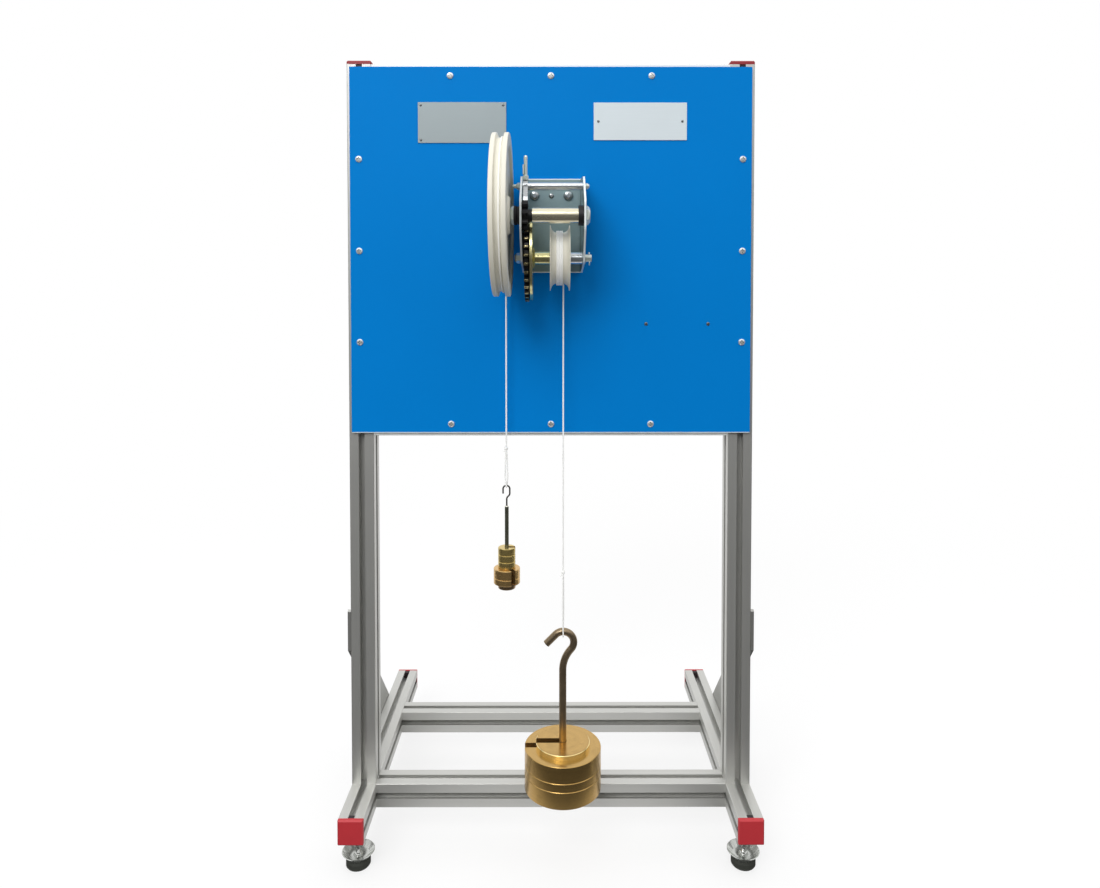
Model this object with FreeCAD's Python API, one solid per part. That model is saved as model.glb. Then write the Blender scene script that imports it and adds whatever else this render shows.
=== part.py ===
"""Winch demonstration unit: a slotted-profile stand with a panel, a hand winch and two hanging weights.

The model is built with the front faces of the uprights on Y = 0, the floor on Z = 0 and the front of
the unit towards -Y. When it is written out it moves along Y, so that the middle of its footprint is
at the origin. Sizes are in millimetres.
"""
import FreeCAD, Part
import math
import os

from FreeCAD import Vector as V

# Stand
overall_width = 660.0        # outer faces of the uprights and side rails
profile = 40.0               # side of the slotted square profile
slot_mouth = 10.0            # opening of the profile's slots
slot_lip = 4.5               # thickness of the lips beside a slot
slot_inner = 20.0            # width behind the lips
slot_depth = 13.5            # face to slot floor
slot_shoulder = 2.5          # straight part of the space behind the lips
slot_floor = 11.0            # width of the slot floor
core_bore = 7.0              # diameter of the bore along the middle of the profile
profile_edge = 1.5           # rounding of the profile's corners
nut_thickness = 4.5          # slot nuts behind the lips
ground_gap = 65.0            # floor to the underside of the side rails
rail_front = 91.0            # side rail end caps ahead of the uprights
rail_back = 400.0            # side rail end caps behind the uprights' front
cross_back = 223.0           # front of the rear cross rail behind the uprights' front
upright_top = 1288.5         # height of the uprights without their caps
cap_thickness = 6.0
cap_bevel = 2.0
panel_span = 602.5           # uprights' top down to the underside of the lower panel rail

# Braces
brace_width = 50.0
brace_thickness = 5.0
brace_top = 400.0            # height where the upper edge reaches the uprights' front
brace_clip = 3.0             # clipped corner at each point
brace_screw_gap = 26.0       # along the brace, between the two screws at each end

# Panel
panel_thickness = 5.0
panel_margin = 5.5           # strip of frame left visible round the panel
panel_corner = 2.0
panel_head = 10.4            # diameter of the panel screws' heads
panel_shank = 5.0
panel_screw_length = 9.0     # reach behind the panel's back
plate_thickness = 1.5
left_plate_size = (142.0, 65.0)
left_plate_x = -143.0
left_plate_drop = 95.0       # uprights' top down to the plate's middle
right_plate_size = (150.0, 60.0)
right_plate_x = 144.0
right_plate_drop = 93.0
plate_screw_inset = 4.6
plate_screw_head = 4.0
plug_screw_x = (154.5, 255.3)
plug_screw_drop = 419.5

# Winch frame
winch_x = 2.9                # middle of the winch frame
winch_width = 96.0           # outer faces of the side plates
winch_plate = 3.0
winch_bend = 5.0             # outer radius of the bends
winch_above = 72.0           # frame's top above the crank axis
winch_below = 20.0           # frame's underside below the drum axis
winch_ahead = 16.0           # frame's front edge ahead of the crank axis
winch_corner = 11.0          # rounding of the side plates' corners
crank_drop = 257.5           # uprights' top down to the crank axis
wheel_gap = 12.4             # between the wheel and the panel's face
gear_gap = 3.6               # between the gear's teeth and the winch frame's base
tie_back = 35.0              # tie bar behind the crank axis
tie_above = 47.0             # tie bar above the crank axis
tie_radius = 5.7
tie_bolt_radius = 3.0
mount_bolt_pitch = 54.4
mount_bolt_aside = -1.9      # middle of the bolts beside the frame's middle
mount_bolt_above = 44.7      # above the crank axis
mount_bolt_head = 16.0

# Gear pair
module = 4.0
gear_teeth = 32
pinion_teeth = 9
gear_line = 44.0             # degrees from upright, of the line from the drum axis to the crank axis
pressure_angle = 20.0
addendum = 0.8               # stub teeth, in modules
tooth_root = 1.1             # depth below the pitch circle, in modules
tooth_shift = 0.2            # profile shift of the pinion, taken off the gear
pinion_undercut = 0.9        # how far each flank of the pinion is hollowed at its root
backlash = 0.5
gear_width = 6.4
gear_inset = 3.0             # left side plate to the gear
flange_gap = 1.9             # gear to the flange
flange_thickness = 3.6
flange_edge = 0.5            # flange's rim beyond the gear's pitch circle
flange_dish = 3.0
pawl_width = 6.5
pawl_eye_wall = 3.5

# Shafts and what is on them
crank_radius = 9.0
running = 0.05               # radial clearance of a shaft in its hole
seat_play = 0.03             # radial clearance of what is pushed on and stays put
end_play = 0.3
crank_sleeve_wall = 2.4
crank_collar_wall = 5.8
crank_collar_width = 7.6
bush_wall = 3.0
crank_nut_wall = 3.0         # nut's flats beyond the crank shaft
crank_nut_width = 5.6
brake_wall = 5.0
brake_disc_width = 4.2
hub_nut_width = 5.0
axle_radius = 5.9
axle_sleeve_wall = 3.8
axle_spacer_wall = 3.1
axle_head_wall = 1.1         # head's flats beyond the axle
axle_head_width = 10.2
axle_washer_wall = 3.6
axle_tail = 11.0             # axle beyond the right side plate
axle_pin = 1.2
axle_pin_place = 7.6         # split pin's middle beyond the right side plate

# Wheel and pulley
wheel_radius = 117.6
wheel_width = 24.0
wheel_groove_depth = 8.0
wheel_groove_mouth = 12.0
wheel_groove_floor = 9.0
wheel_recess = 4.0           # web's face behind the rim's
wheel_rim = 18.0
wheel_hub = 26.0
pulley_radius = 49.7
pulley_width = 30.4
pulley_inset = 34.2          # right side plate to the pulley's middle
pulley_groove_depth = 10.6
pulley_groove_floor = 14.4
pulley_land = 1.2
pulley_hollow = 2.0          # how far the groove's sides are hollowed

# Cords
cord_radius = 1.25
cord_play = 0.1
effort_strand = -0.8         # hanging strand beside the wheel's middle
load_strand = 5.9            # hanging strand beside the pulley's middle
turn_pitch = 2.7
effort_knot_z = 670.0
load_knot_z = 473.5
knot_radius = 2.3

# Effort weight
effort_wire = 1.3
effort_hook_bend = 5.4
effort_hook_z = 609.5        # wire centre at the top of the hook
effort_hook_side = -0.5      # middle of the bend beside the rod
effort_hook_leg = 7.5
effort_hook_drop = 7.0       # straight part on the closed side
effort_hook_return = 6.0     # radius of the double bend back to the rod
effort_rod_radius = 3.2
effort_rod_top = 577.0
effort_base_z = 443.5
effort_base_radius = 14.0
effort_base_height = 8.3
effort_large_radius = 21.2
effort_large_heights = (10.0, 14.7)
effort_small_radius = 14.0
effort_small_height = 11.1
effort_small_count = 3
effort_slot_play = 0.5
effort_large_slot_angle = -57.0    # from +X, seen from above
effort_small_slot_angle = 0.0

# Load
load_wire = 5.8
load_hook_bend = 17.0
load_hook_z = 377.5
load_hook_side = 0.6
load_hook_tip_angle = 135.0
load_hook_leg = 21.0
load_hook_return = 50.0
load_base_z = 126.0
load_radius = 61.3
load_base_height = 27.0
load_middle_height = 13.5
load_top_height = 26.0
load_boss_radius = 43.3
load_boss_height = 7.5
load_slot_play = 0.7
load_slot_angle = 180.0
mass_chamfer = 0.8

# Levelling feet
foot_inset_front = 51.0      # from the rail's front end to the foot's axis
foot_inset_back = 35.0
foot_pad_radius = 19.5
foot_pad_height = 13.0
foot_dish_radius = 26.0
foot_dish_wall = 1.6
foot_dish_rise = 9.0
foot_hub_radius = 8.0
foot_stud_radius = 4.0
foot_stud_engage = 12.0      # how far the stud reaches into the rail's slot
foot_nut_flats = 16.0
foot_nut_height = 7.0

# Places worked out from the sizes above
half_width = overall_width / 2
half_profile = profile / 2
rail_z = ground_gap + half_profile
rail_top = ground_gap + profile
upright_x = half_width - half_profile
cross_length = overall_width - 2 * profile
panel_rail_low = upright_top - panel_span
panel_rail_high = upright_top - profile
panel_left = -half_width + panel_margin
panel_low = panel_rail_low + panel_margin
panel_high = upright_top - panel_margin
panel_middle = (panel_low + panel_high) / 2
left_plate = (*left_plate_size, left_plate_x, upright_top - left_plate_drop)
right_plate = (*right_plate_size, right_plate_x, upright_top - right_plate_drop)
plug_screw_z = upright_top - plug_screw_drop
centre_distance = module * (gear_teeth + pinion_teeth) / 2
gear_forward = centre_distance * math.sin(math.radians(gear_line))
gear_tip = module * (gear_teeth / 2 + addendum - tooth_shift)
pinion_tip = module * (pinion_teeth / 2 + addendum + tooth_shift)
crank_reach = max(wheel_radius + wheel_gap, winch_plate + gear_gap + gear_tip + gear_forward)
crank_z = upright_top - crank_drop
drum_reach = crank_reach - gear_forward
drum_z = crank_z - centre_distance * math.cos(math.radians(gear_line))
tie_reach = crank_reach - tie_back
tie_z = crank_z + tie_above
winch_top = crank_z + winch_above
winch_bottom = drum_z - winch_below
side_front = crank_reach + winch_ahead
mount_bolt_z = crank_z + mount_bolt_above
front_reach = panel_thickness + crank_reach + wheel_radius
shift_y = (front_reach - rail_back) / 2
plate_left_out = winch_x - winch_width / 2
plate_left_in = plate_left_out + winch_plate
plate_right_out = winch_x + winch_width / 2
plate_right_in = plate_right_out - winch_plate
gear_left = plate_left_in + gear_inset
gear_right = gear_left + gear_width
pinion_right = gear_right - end_play
pinion_left = plate_left_in + end_play
pawl_left = pinion_left + 1.0
flange_left = gear_right + flange_gap
flange_right = flange_left + flange_thickness
flange_radius = module * gear_teeth / 2 + flange_edge
pulley_x = plate_right_in - pulley_inset
crank_sleeve_radius = crank_radius + crank_sleeve_wall
crank_collar_radius = crank_radius + crank_collar_wall
axle_sleeve_radius = axle_radius + axle_sleeve_wall
hub_nut_right = plate_left_out - end_play - 2 * brake_disc_width
hub_nut_left = hub_nut_right - hub_nut_width
wheel_x = hub_nut_left - wheel_width / 2
effort_x = wheel_x + effort_strand
load_x = pulley_x + load_strand
effort_slot = 2 * (effort_rod_radius + effort_slot_play)
load_slot = 2 * (load_wire + load_slot_play)
wheel_left = wheel_x - wheel_width / 2
wheel_right = wheel_x + wheel_width / 2
effort_turn_radius = wheel_radius - wheel_groove_depth + cord_radius + cord_play
load_turn_radius = pulley_radius - pulley_groove_depth + cord_radius + cord_play
effort_y = -panel_thickness - crank_reach + effort_turn_radius
load_y = -panel_thickness - drum_reach + load_turn_radius
effort_rod_x = effort_x - effort_hook_side
load_stem_x = load_x - load_hook_side
effort_large_z = effort_base_z + effort_base_height
effort_small_z = effort_large_z + sum(effort_large_heights)
load_middle_z = load_base_z + load_base_height
load_top_z = load_middle_z + load_middle_height


def box(x0, x1, y0, y1, z0, z1):
    return Part.makeBox(x1 - x0, y1 - y0, z1 - z0, V(x0, y0, z0))


def rod_x(x0, x1, y, z, radius):
    """Cylinder along X."""
    return Part.makeCylinder(radius, x1 - x0, V(x0, y, z), V(1, 0, 0))


def rod_y(y0, y1, x, z, radius):
    """Cylinder along Y."""
    return Part.makeCylinder(radius, y1 - y0, V(x, y0, z), V(0, 1, 0))


def rod_z(z0, z1, x, y, radius):
    """Cylinder along Z."""
    return Part.makeCylinder(radius, z1 - z0, V(x, y, z0), V(0, 0, 1))


def tube_x(x0, x1, y, z, outer, inner):
    return rod_x(x0, x1, y, z, outer).cut(rod_x(x0 - 1, x1 + 1, y, z, inner))


def front(reach):
    """Y of a point that stands this far in front of the panel's face."""
    return -panel_thickness - reach


def polygon_face(points):
    return Part.Face(Part.makePolygon(points + [points[0]]))


def hexagon(flats, height, base, axis):
    """Hexagonal prism with its faces' corners turned off at the far end."""
    corner = flats / math.sqrt(3)
    points = [V(corner * math.cos(k * math.pi / 3), corner * math.sin(k * math.pi / 3), 0) for k in range(6)]
    prism = polygon_face(points).extrude(V(0, 0, height))
    cone_height = height * 2
    wide = flats / 2 + (cone_height - height * 0.85) * 1.6
    cone = Part.makeCone(wide, flats / 2 - 0.15 * height * 1.6, cone_height, V(0, 0, height - cone_height))
    nut = prism.common(cone)
    turn = FreeCAD.Rotation(V(0, 0, 1), axis)
    nut.Placement = FreeCAD.Placement(base, turn)
    return nut


def revolve_x(points, y, z):
    """Solid of revolution about the line along X through y, z, from points of X and radius."""
    edges = [V(x, 0, r) for x, r in points]
    solid = polygon_face(edges).revolve(V(0, 0, 0), V(1, 0, 0), 360)
    solid.translate(V(0, y, z))
    return solid


def revolve_z(points, x, y):
    """Solid of revolution about a vertical line, from points of radius and height."""
    solid = polygon_face([V(r, 0, z) for r, z in points]).revolve(V(0, 0, 0), V(0, 0, 1), 360)
    solid.translate(V(x, y, 0))
    return solid


def mirror_pair(shape):
    """The shape and its mirror image about the unit's middle plane."""
    return [shape, shape.mirror(V(0, 0, 0), V(1, 0, 0))]


def slot_outline():
    """Half-widths and depths of one slot, from its mouth to its floor."""
    return [(slot_mouth / 2, -1.0), (slot_mouth / 2, slot_lip), (slot_inner / 2, slot_lip),
            (slot_inner / 2, slot_lip + slot_shoulder), (slot_floor / 2, slot_depth)]


def make_profile(length):
    """Slotted square profile standing on Z = 0, with its middle on the Z axis."""
    bar = box(-half_profile, half_profile, -half_profile, half_profile, 0, length)
    edges = [e for e in bar.Edges if abs(e.tangentAt(e.FirstParameter).z) > 0.99]
    bar = bar.makeFillet(profile_edge, edges)
    outline = slot_outline()
    points = [V(w, half_profile - depth, 0) for w, depth in outline]
    points += [V(-w, half_profile - depth, 0) for w, depth in reversed(outline)]
    slot = polygon_face(points).extrude(V(0, 0, length))
    for quarter in range(4):
        cutter = slot.copy()
        cutter.rotate(V(0, 0, 0), V(0, 0, 1), 90 * quarter)
        bar = bar.cut(cutter)
    return bar.cut(rod_z(-1, length + 1, 0, 0, core_bore / 2))


def rail_along_x(length, y, z):
    bar = make_profile(length)
    bar.rotate(V(0, 0, 0), V(0, 1, 0), 90)
    bar.translate(V(-length / 2, y, z))
    return bar


def rail_along_y(y0, y1, x, z):
    bar = make_profile(y1 - y0)
    bar.rotate(V(0, 0, 0), V(1, 0, 0), -90)
    bar.translate(V(x, y0, z))
    return bar


def core_screw(y, z):
    """Screw from the right-hand rail's outer slot floor into the bore of the rail that butts on it."""
    radius = core_bore / 2 - 0.1
    seat = half_width - slot_depth
    shank = rod_x(half_width - profile - 18, seat, y, z, radius)
    head = rod_x(seat, seat + 5, y, z, slot_mouth / 2 - 0.3)
    socket = rod_x(seat + 2.5, seat + 6, y, z, 2.5)
    return shank.fuse(head).cut(socket)


def make_side_rail():
    """Right side rail, drilled for the cross rails' screws."""
    rail = rail_along_y(-rail_front + cap_thickness, rail_back - cap_thickness, upright_x, rail_z)
    for y in cross_rail_middles():
        rail = rail.cut(rod_x(half_width - profile, half_width, y, rail_z, core_bore / 2))
    return rail


def cross_rail_middles():
    return [half_profile, cross_back + half_profile]


def panel_rail_middles():
    return [panel_rail_low + half_profile, panel_rail_high + half_profile]


def make_upright():
    """Right upright, drilled for the panel rails' screws."""
    post = make_profile(upright_top - rail_top)
    post.translate(V(upright_x, half_profile, rail_top))
    for z in panel_rail_middles():
        post = post.cut(rod_x(half_width - profile, half_width, half_profile, z, core_bore / 2))
    return post


def make_cap():
    """Square cap on Z = 0 with a bevelled edge and a plug that sits in the four slots."""
    plate = box(-half_profile, half_profile, -half_profile, half_profile, 0, cap_thickness)
    upright_edges = [e for e in plate.Edges if abs(e.tangentAt(e.FirstParameter).z) > 0.99]
    plate = plate.makeFillet(profile_edge, upright_edges)
    rim = [e for e in plate.Edges if e.BoundBox.ZMin > cap_thickness - 0.01]
    plate = plate.makeChamfer(cap_bevel, rim)
    for quarter in range(4):
        tongue = box(-slot_mouth / 2 + 0.1, slot_mouth / 2 - 0.1, half_profile - slot_depth + 0.3,
                     half_profile - 1.0, -8.0, 0)
        tongue.rotate(V(0, 0, 0), V(0, 0, 1), 90 * quarter)
        plate = plate.fuse(tongue)
    return plate.removeSplitter()


def make_end_caps():
    """Caps on both ends of the side rails and on top of the uprights."""
    facing_front = make_cap()
    facing_front.rotate(V(0, 0, 0), V(1, 0, 0), 90)
    facing_front.translate(V(upright_x, -rail_front + cap_thickness, rail_z))
    facing_back = make_cap()
    facing_back.rotate(V(0, 0, 0), V(1, 0, 0), -90)
    facing_back.translate(V(upright_x, rail_back - cap_thickness, rail_z))
    facing_up = make_cap()
    facing_up.translate(V(upright_x, half_profile, upright_top))
    return [cap for one in (facing_front, facing_back, facing_up) for cap in mirror_pair(one)]


def brace_screw_places():
    """Places of one brace's screws as Y, Z: two on the upright's slot and two on the rail's slot."""
    half = brace_screw_gap / 2
    on_upright = brace_top - half_profile - brace_width / math.sqrt(2)
    on_rail = brace_top - rail_z - brace_width / math.sqrt(2)
    places = [(half_profile, on_upright + s) for s in (-half, half)]
    return places + [(on_rail + s, rail_z) for s in (-half, half)]


def make_brace():
    """Right-hand flat bar at 45 degrees, cut upright at its top and level at its foot."""
    drop = brace_width * math.sqrt(2)
    x = half_width
    low = ground_gap
    points = [V(x, 0, brace_top - drop), V(x, 0, brace_top - 2 * brace_clip),
              V(x, brace_clip, brace_top - brace_clip), V(x, brace_top - low - brace_clip, low + brace_clip),
              V(x, brace_top - low - 2 * brace_clip, low), V(x, brace_top - drop - low, low)]
    bar = polygon_face(points).extrude(V(brace_thickness, 0, 0))
    for y, z in brace_screw_places():
        bar = bar.cut(rod_x(x - 1, x + brace_thickness + 1, y, z, 3.6))
    return bar


def make_brace_screw(y, z):
    """Button-headed screw through the brace with its slot nut behind the profile's lips."""
    x = half_width + brace_thickness
    head = revolve_x([(x, 0), (x, 6.5), (x + 1.2, 6.2), (x + 2.8, 4.2), (x + 3.3, 2.2), (x + 1.8, 2.2),
                      (x + 1.8, 0)], y, z)
    shank = rod_x(half_width - slot_depth + 1.0, x, y, z, 3.5)
    nut = box(half_width - slot_lip - nut_thickness, half_width - slot_lip, y - 8, y + 8, z - 8, z + 8)
    nut = nut.cut(rod_x(half_width - slot_depth, half_width, y, z, 3.5 + seat_play))
    return [head.fuse(shank), nut]


def make_frame_screws():
    screws = []
    for y in cross_rail_middles():
        screws += mirror_pair(core_screw(y, rail_z))
    for z in panel_rail_middles():
        screws += mirror_pair(core_screw(half_profile, z))
    for y, z in brace_screw_places():
        for piece in make_brace_screw(y, z):
            screws += mirror_pair(piece)
    return screws


def panel_screw_places():
    """X, Z of the panel's screws, a quarter of the panel apart on the middle lines of the frame."""
    step_x = (half_width - panel_margin) / 2
    step_z = (panel_high - panel_low) / 4
    places = [(k * step_x, z) for z in panel_rail_middles() for k in (-1, 0, 1)]
    places += [(side * upright_x, panel_middle + k * step_z) for side in (-1, 1) for k in (-1, 0, 1)]
    return places


def make_pan_screw(x, z, face, head, shank, reach):
    """Cross-recessed pan head screw whose head sits on the plane Y = face."""
    height = head * 0.27
    profile_points = [V(0, 0, 0), V(head / 2, 0, 0), V(head / 2, 0, height * 0.45),
                      V(head * 0.36, 0, height * 0.9), V(head * 0.2, 0, height), V(0, 0, height)]
    body = polygon_face(profile_points).revolve(V(0, 0, 0), V(0, 0, 1), 360)
    body = body.fuse(rod_z(-reach, 0, 0, 0, shank / 2))
    arm = head * 0.09
    for cut in (box(-head * 0.3, head * 0.3, -arm, arm, height * 0.5, height + 1),
                box(-arm, arm, -head * 0.3, head * 0.3, height * 0.5, height + 1)):
        body = body.cut(cut)
    body.rotate(V(0, 0, 0), V(1, 0, 0), 90)
    body.translate(V(x, face, z))
    return body


def make_panel():
    """Painted panel with rounded corners, drilled for everything that is fixed to it."""
    sheet = box(panel_left, -panel_left, -panel_thickness, 0, panel_low, panel_high)
    corners = [e for e in sheet.Edges if abs(e.tangentAt(e.FirstParameter).y) > 0.99]
    sheet = sheet.makeFillet(panel_corner, corners)
    holes = [(x, z, panel_shank / 2 + 0.1) for x, z in panel_screw_places()]
    holes += [(x, z, radius + 0.2) for x, z, _, radius in mount_bolts()]
    holes += [(x, plug_screw_z, 1.6) for x in plug_screw_x]
    holes += [(x, z, 1.1) for x, z in plate_screw_places()]
    for x, z, radius in holes:
        sheet = sheet.cut(rod_y(-panel_thickness - 1, 1, x, z, radius))
    return sheet


def make_panel_screws():
    """Screws through the panel, each with its nut in the profile's slot."""
    pieces = []
    reach = panel_thickness + panel_screw_length
    for x, z in panel_screw_places():
        pieces.append(make_pan_screw(x, z, -panel_thickness, panel_head, panel_shank, reach))
        nut = box(x - 8, x + 8, slot_lip, slot_lip + nut_thickness, z - 8, z + 8)
        pieces.append(nut.cut(rod_y(0, profile, x, z, panel_shank / 2 + seat_play)))
    return pieces


def plate_screw_places():
    width, height, x, z = left_plate
    dx = width / 2 - plate_screw_inset
    dz = height / 2 - plate_screw_inset
    places = [(x + sx * dx, z + sz * dz) for sx in (-1, 1) for sz in (-1, 1)]
    width, height, x, z = right_plate
    dx = width / 2 - 1.6 * plate_screw_inset
    return places + [(x - dx, z), (x + dx, z)]


def make_nameplate(place):
    """Thin bare plate on the panel's face, drilled for its screws."""
    width, height, x, z = place
    plate = box(x - width / 2, x + width / 2, -panel_thickness - plate_thickness, -panel_thickness,
                z - height / 2, z + height / 2)
    for sx, sz in plate_screw_places():
        plate = plate.cut(rod_y(-panel_thickness - plate_thickness - 1, 0, sx, sz, 1.1))
    return plate


def make_small_screws():
    """Screws of the two plates and the two that close spare holes."""
    screws = [make_pan_screw(x, z, -panel_thickness - plate_thickness, plate_screw_head, 2.0, 5.0)
              for x, z in plate_screw_places()]
    screws += [make_pan_screw(x, plug_screw_z, -panel_thickness, 5.6, 3.0, 7.0) for x in plug_screw_x]
    return screws


def mount_bolts():
    """X, Z, head diameter and shank radius of the bolts that hold the winch frame on the panel."""
    middle = winch_x + mount_bolt_aside
    pair = [(middle + s * mount_bolt_pitch / 2, mount_bolt_z, mount_bolt_head, 4.0) for s in (-1, 1)]
    return pair + [(middle, mount_bolt_z, 8.0, 2.5)]


def make_mount_bolts():
    """Round-headed bolts with their washers and nuts behind the panel."""
    pieces = []
    face = front(winch_plate)
    for x, z, head, radius in mount_bolts():
        rise = head * 0.36
        dome = polygon_face([V(0, 0, 0), V(head / 2, 0, 0), V(head / 2, 0, rise * 0.35),
                             V(head * 0.4, 0, rise * 0.8), V(head * 0.2, 0, rise), V(0, 0, rise)])
        bolt = dome.revolve(V(0, 0, 0), V(0, 0, 1), 360)
        reach = panel_thickness + winch_plate + radius * 2.8
        bolt = bolt.fuse(rod_z(-reach, 0, 0, 0, radius))
        bolt.rotate(V(0, 0, 0), V(1, 0, 0), 90)
        bolt.translate(V(x, face, z))
        nut = hexagon(radius * 3.2, radius * 1.6, V(x, 0.0, z), V(0, 1, 0))
        nut = nut.cut(rod_y(-1, radius * 3, x, z, radius + seat_play))
        pieces += [bolt, nut]
    return pieces


def make_winch_frame():
    """Bent steel channel: a base on the panel and two shaped side plates."""
    x0 = plate_left_out
    x1 = plate_right_out
    outer = box(x0, x1, front(side_front), front(0), winch_bottom, winch_top)
    bends = [e for e in outer.Edges if abs(e.tangentAt(e.FirstParameter).z) > 0.99
             and e.CenterOfMass.y > front(1.0)]
    outer = outer.makeFillet(winch_bend, bends)
    inner = box(plate_left_in, plate_right_in, front(side_front + 1), front(winch_plate),
                winch_bottom - 1, winch_top + 1)
    inner_bends = [e for e in inner.Edges if abs(e.tangentAt(e.FirstParameter).z) > 0.99
                   and e.CenterOfMass.y > front(winch_plate + 1.0)]
    inner = inner.makeFillet(winch_bend - winch_plate, inner_bends)
    channel = outer.cut(inner)
    side = [(-1.0, winch_top), (10.0, winch_top), (tie_reach, winch_top - 10.0),
            (side_front, crank_z + 22.0), (side_front, crank_z - 21.0),
            (drum_reach + 27.0, winch_bottom + 12.0), (10.0, winch_bottom), (-1.0, winch_bottom)]
    outline = polygon_face([V(x0 - 1, front(d), z) for d, z in side]).extrude(V(winch_width + 2, 0, 0))
    along_x = [e for e in outline.Edges if abs(e.tangentAt(e.FirstParameter).x) > 0.99
               and e.CenterOfMass.y < front(20.0)]
    outline = outline.makeFillet(winch_corner, along_x)
    channel = channel.common(outline)
    across = [(crank_reach, crank_z, crank_radius + bush_wall + seat_play),
              (drum_reach, drum_z, axle_radius + running),
              (tie_reach, tie_z, tie_bolt_radius + running)]
    for reach, z, radius in across:
        channel = channel.cut(rod_x(x0 - 1, x1 + 1, front(reach), z, radius))
    for x, z, _, radius in mount_bolts():
        channel = channel.cut(rod_y(front(winch_plate + 1), front(0) + 1, x, z, radius + 0.2))
    return channel


def make_shaft_bushes():
    return [tube_x(x, x + winch_plate, front(crank_reach), crank_z, crank_radius + bush_wall,
                   crank_radius + running) for x in (plate_left_out, plate_right_in)]


def make_tie_bar():
    bore = tie_bolt_radius + running
    return tube_x(plate_left_in, plate_right_in, front(tie_reach), tie_z, tie_radius, bore)


def make_axle_fasteners():
    """Tie bolt with its nut, the axle's washer and the split pin through the axle's end."""
    y = front(tie_reach)
    head_width = 6.5
    bolt = rod_x(plate_left_out - 11.5, plate_right_out, y, tie_z, tie_bolt_radius)
    head = revolve_x([(plate_right_out, 0), (plate_right_out, 4.6), (plate_right_out + head_width * 0.6, 4.6),
                      (plate_right_out + head_width, 2.6), (plate_right_out + head_width, 0)], y, tie_z)
    nut = hexagon(10.0, 6.2, V(plate_left_out, y, tie_z), V(-1, 0, 0))
    nut = nut.cut(rod_x(plate_left_out - 7, plate_left_out + 1, y, tie_z, tie_bolt_radius + seat_play))
    axle_y = front(drum_reach)
    washer = tube_x(plate_right_out, plate_right_out + 1.5, axle_y, drum_z, axle_radius + axle_washer_wall,
                    axle_radius + running)
    pin_x = plate_right_out + axle_pin_place
    lean = V(0, 0.6, 0.8)
    middle = V(pin_x, axle_y, drum_z)
    pin = Part.makeCylinder(axle_pin, 2 * axle_radius + 7, middle - lean * (axle_radius + 2), lean)
    eye = Part.makeTorus(2.4, 0.9, middle - lean * (axle_radius + 4.2), V(1, 0, 0))
    return [bolt.fuse(head), nut, washer, pin.fuse(eye)]


def involute_angle(base, radius):
    """Angle by which an involute of this base circle has turned at a radius."""
    if radius <= base:
        return 0.0
    t = math.sqrt((radius / base) ** 2 - 1)
    return t - math.atan(t)


def make_gear(teeth, shift, x0, x1, reach, z, phase, bore, undercut):
    """Spur gear with involute stub teeth, narrowed at their roots by the undercut.

    One tooth is centred on the angle phase, counted from +Z towards the front.
    """
    alpha = math.radians(pressure_angle)
    pitch = module * teeth / 2
    base = pitch * math.cos(alpha)
    tip = pitch + module * (addendum + shift)
    root = pitch - module * (tooth_root - shift)
    half_tooth = (math.pi / 2 + 2 * shift * math.tan(alpha)) / teeth - backlash / (2 * pitch)
    at_pitch = involute_angle(base, pitch)
    flank = []
    start = max(root, base)
    if root < base:
        flank.append((root, half_tooth + at_pitch - undercut / root))
    for k in range(4):
        radius = start + (tip - start) * k / 3
        flank.append((radius, half_tooth + at_pitch - involute_angle(base, radius)))
    points = []
    for tooth in range(teeth):
        middle = phase + tooth * 2 * math.pi / teeth
        side = [(r, middle - a) for r, a in flank] + [(r, middle + a) for r, a in reversed(flank)]
        points += [V(x0, -r * math.sin(a), r * math.cos(a)) for r, a in side]
    wheel = polygon_face(points).extrude(V(x1 - x0, 0, 0))
    wheel = wheel.cut(rod_x(x0 - 1, x1 + 1, 0, 0, bore))
    wheel.translate(V(0, front(reach), z))
    return wheel


def mesh_phases():
    """Angles of the gear's and the pinion's marked teeth that put them in mesh at rest."""
    towards_pinion = math.atan2(crank_reach - drum_reach, crank_z - drum_z)
    return towards_pinion, towards_pinion + math.pi + math.pi / pinion_teeth


def make_drum_gear():
    gear = make_gear(gear_teeth, -tooth_shift, gear_left, gear_left + gear_width, drum_reach, drum_z,
                     mesh_phases()[0], axle_sleeve_radius + seat_play, 0.0)
    boss = tube_x(plate_left_in + end_play, gear_left, front(drum_reach), drum_z, axle_sleeve_radius + 6.0,
                  axle_sleeve_radius + seat_play)
    return gear.fuse(boss).removeSplitter()


def make_pinion():
    return make_gear(pinion_teeth, tooth_shift, pinion_left, pinion_right, crank_reach, crank_z,
                     mesh_phases()[1], crank_radius + seat_play, pinion_undercut)


def make_drum_flange():
    """Dished disc that keeps the cord away from the gear."""
    x0 = flange_left
    x1 = flange_right
    bore = axle_sleeve_radius + seat_play
    return revolve_x([(x0, bore), (x0, flange_radius), (x1, flange_radius), (x1, bore + 9.0),
                      (x1 + flange_dish, bore + 4.0), (x1 + flange_dish, bore)], front(drum_reach), drum_z)


def make_drum_sleeve():
    return tube_x(plate_left_in + end_play, pulley_x - pulley_width / 2, front(drum_reach), drum_z,
                  axle_sleeve_radius, axle_radius + running)


def make_pulley_spacer():
    return tube_x(pulley_x + pulley_width / 2, plate_right_in - end_play, front(drum_reach), drum_z,
                  axle_radius + axle_spacer_wall, axle_radius + running)


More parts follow.
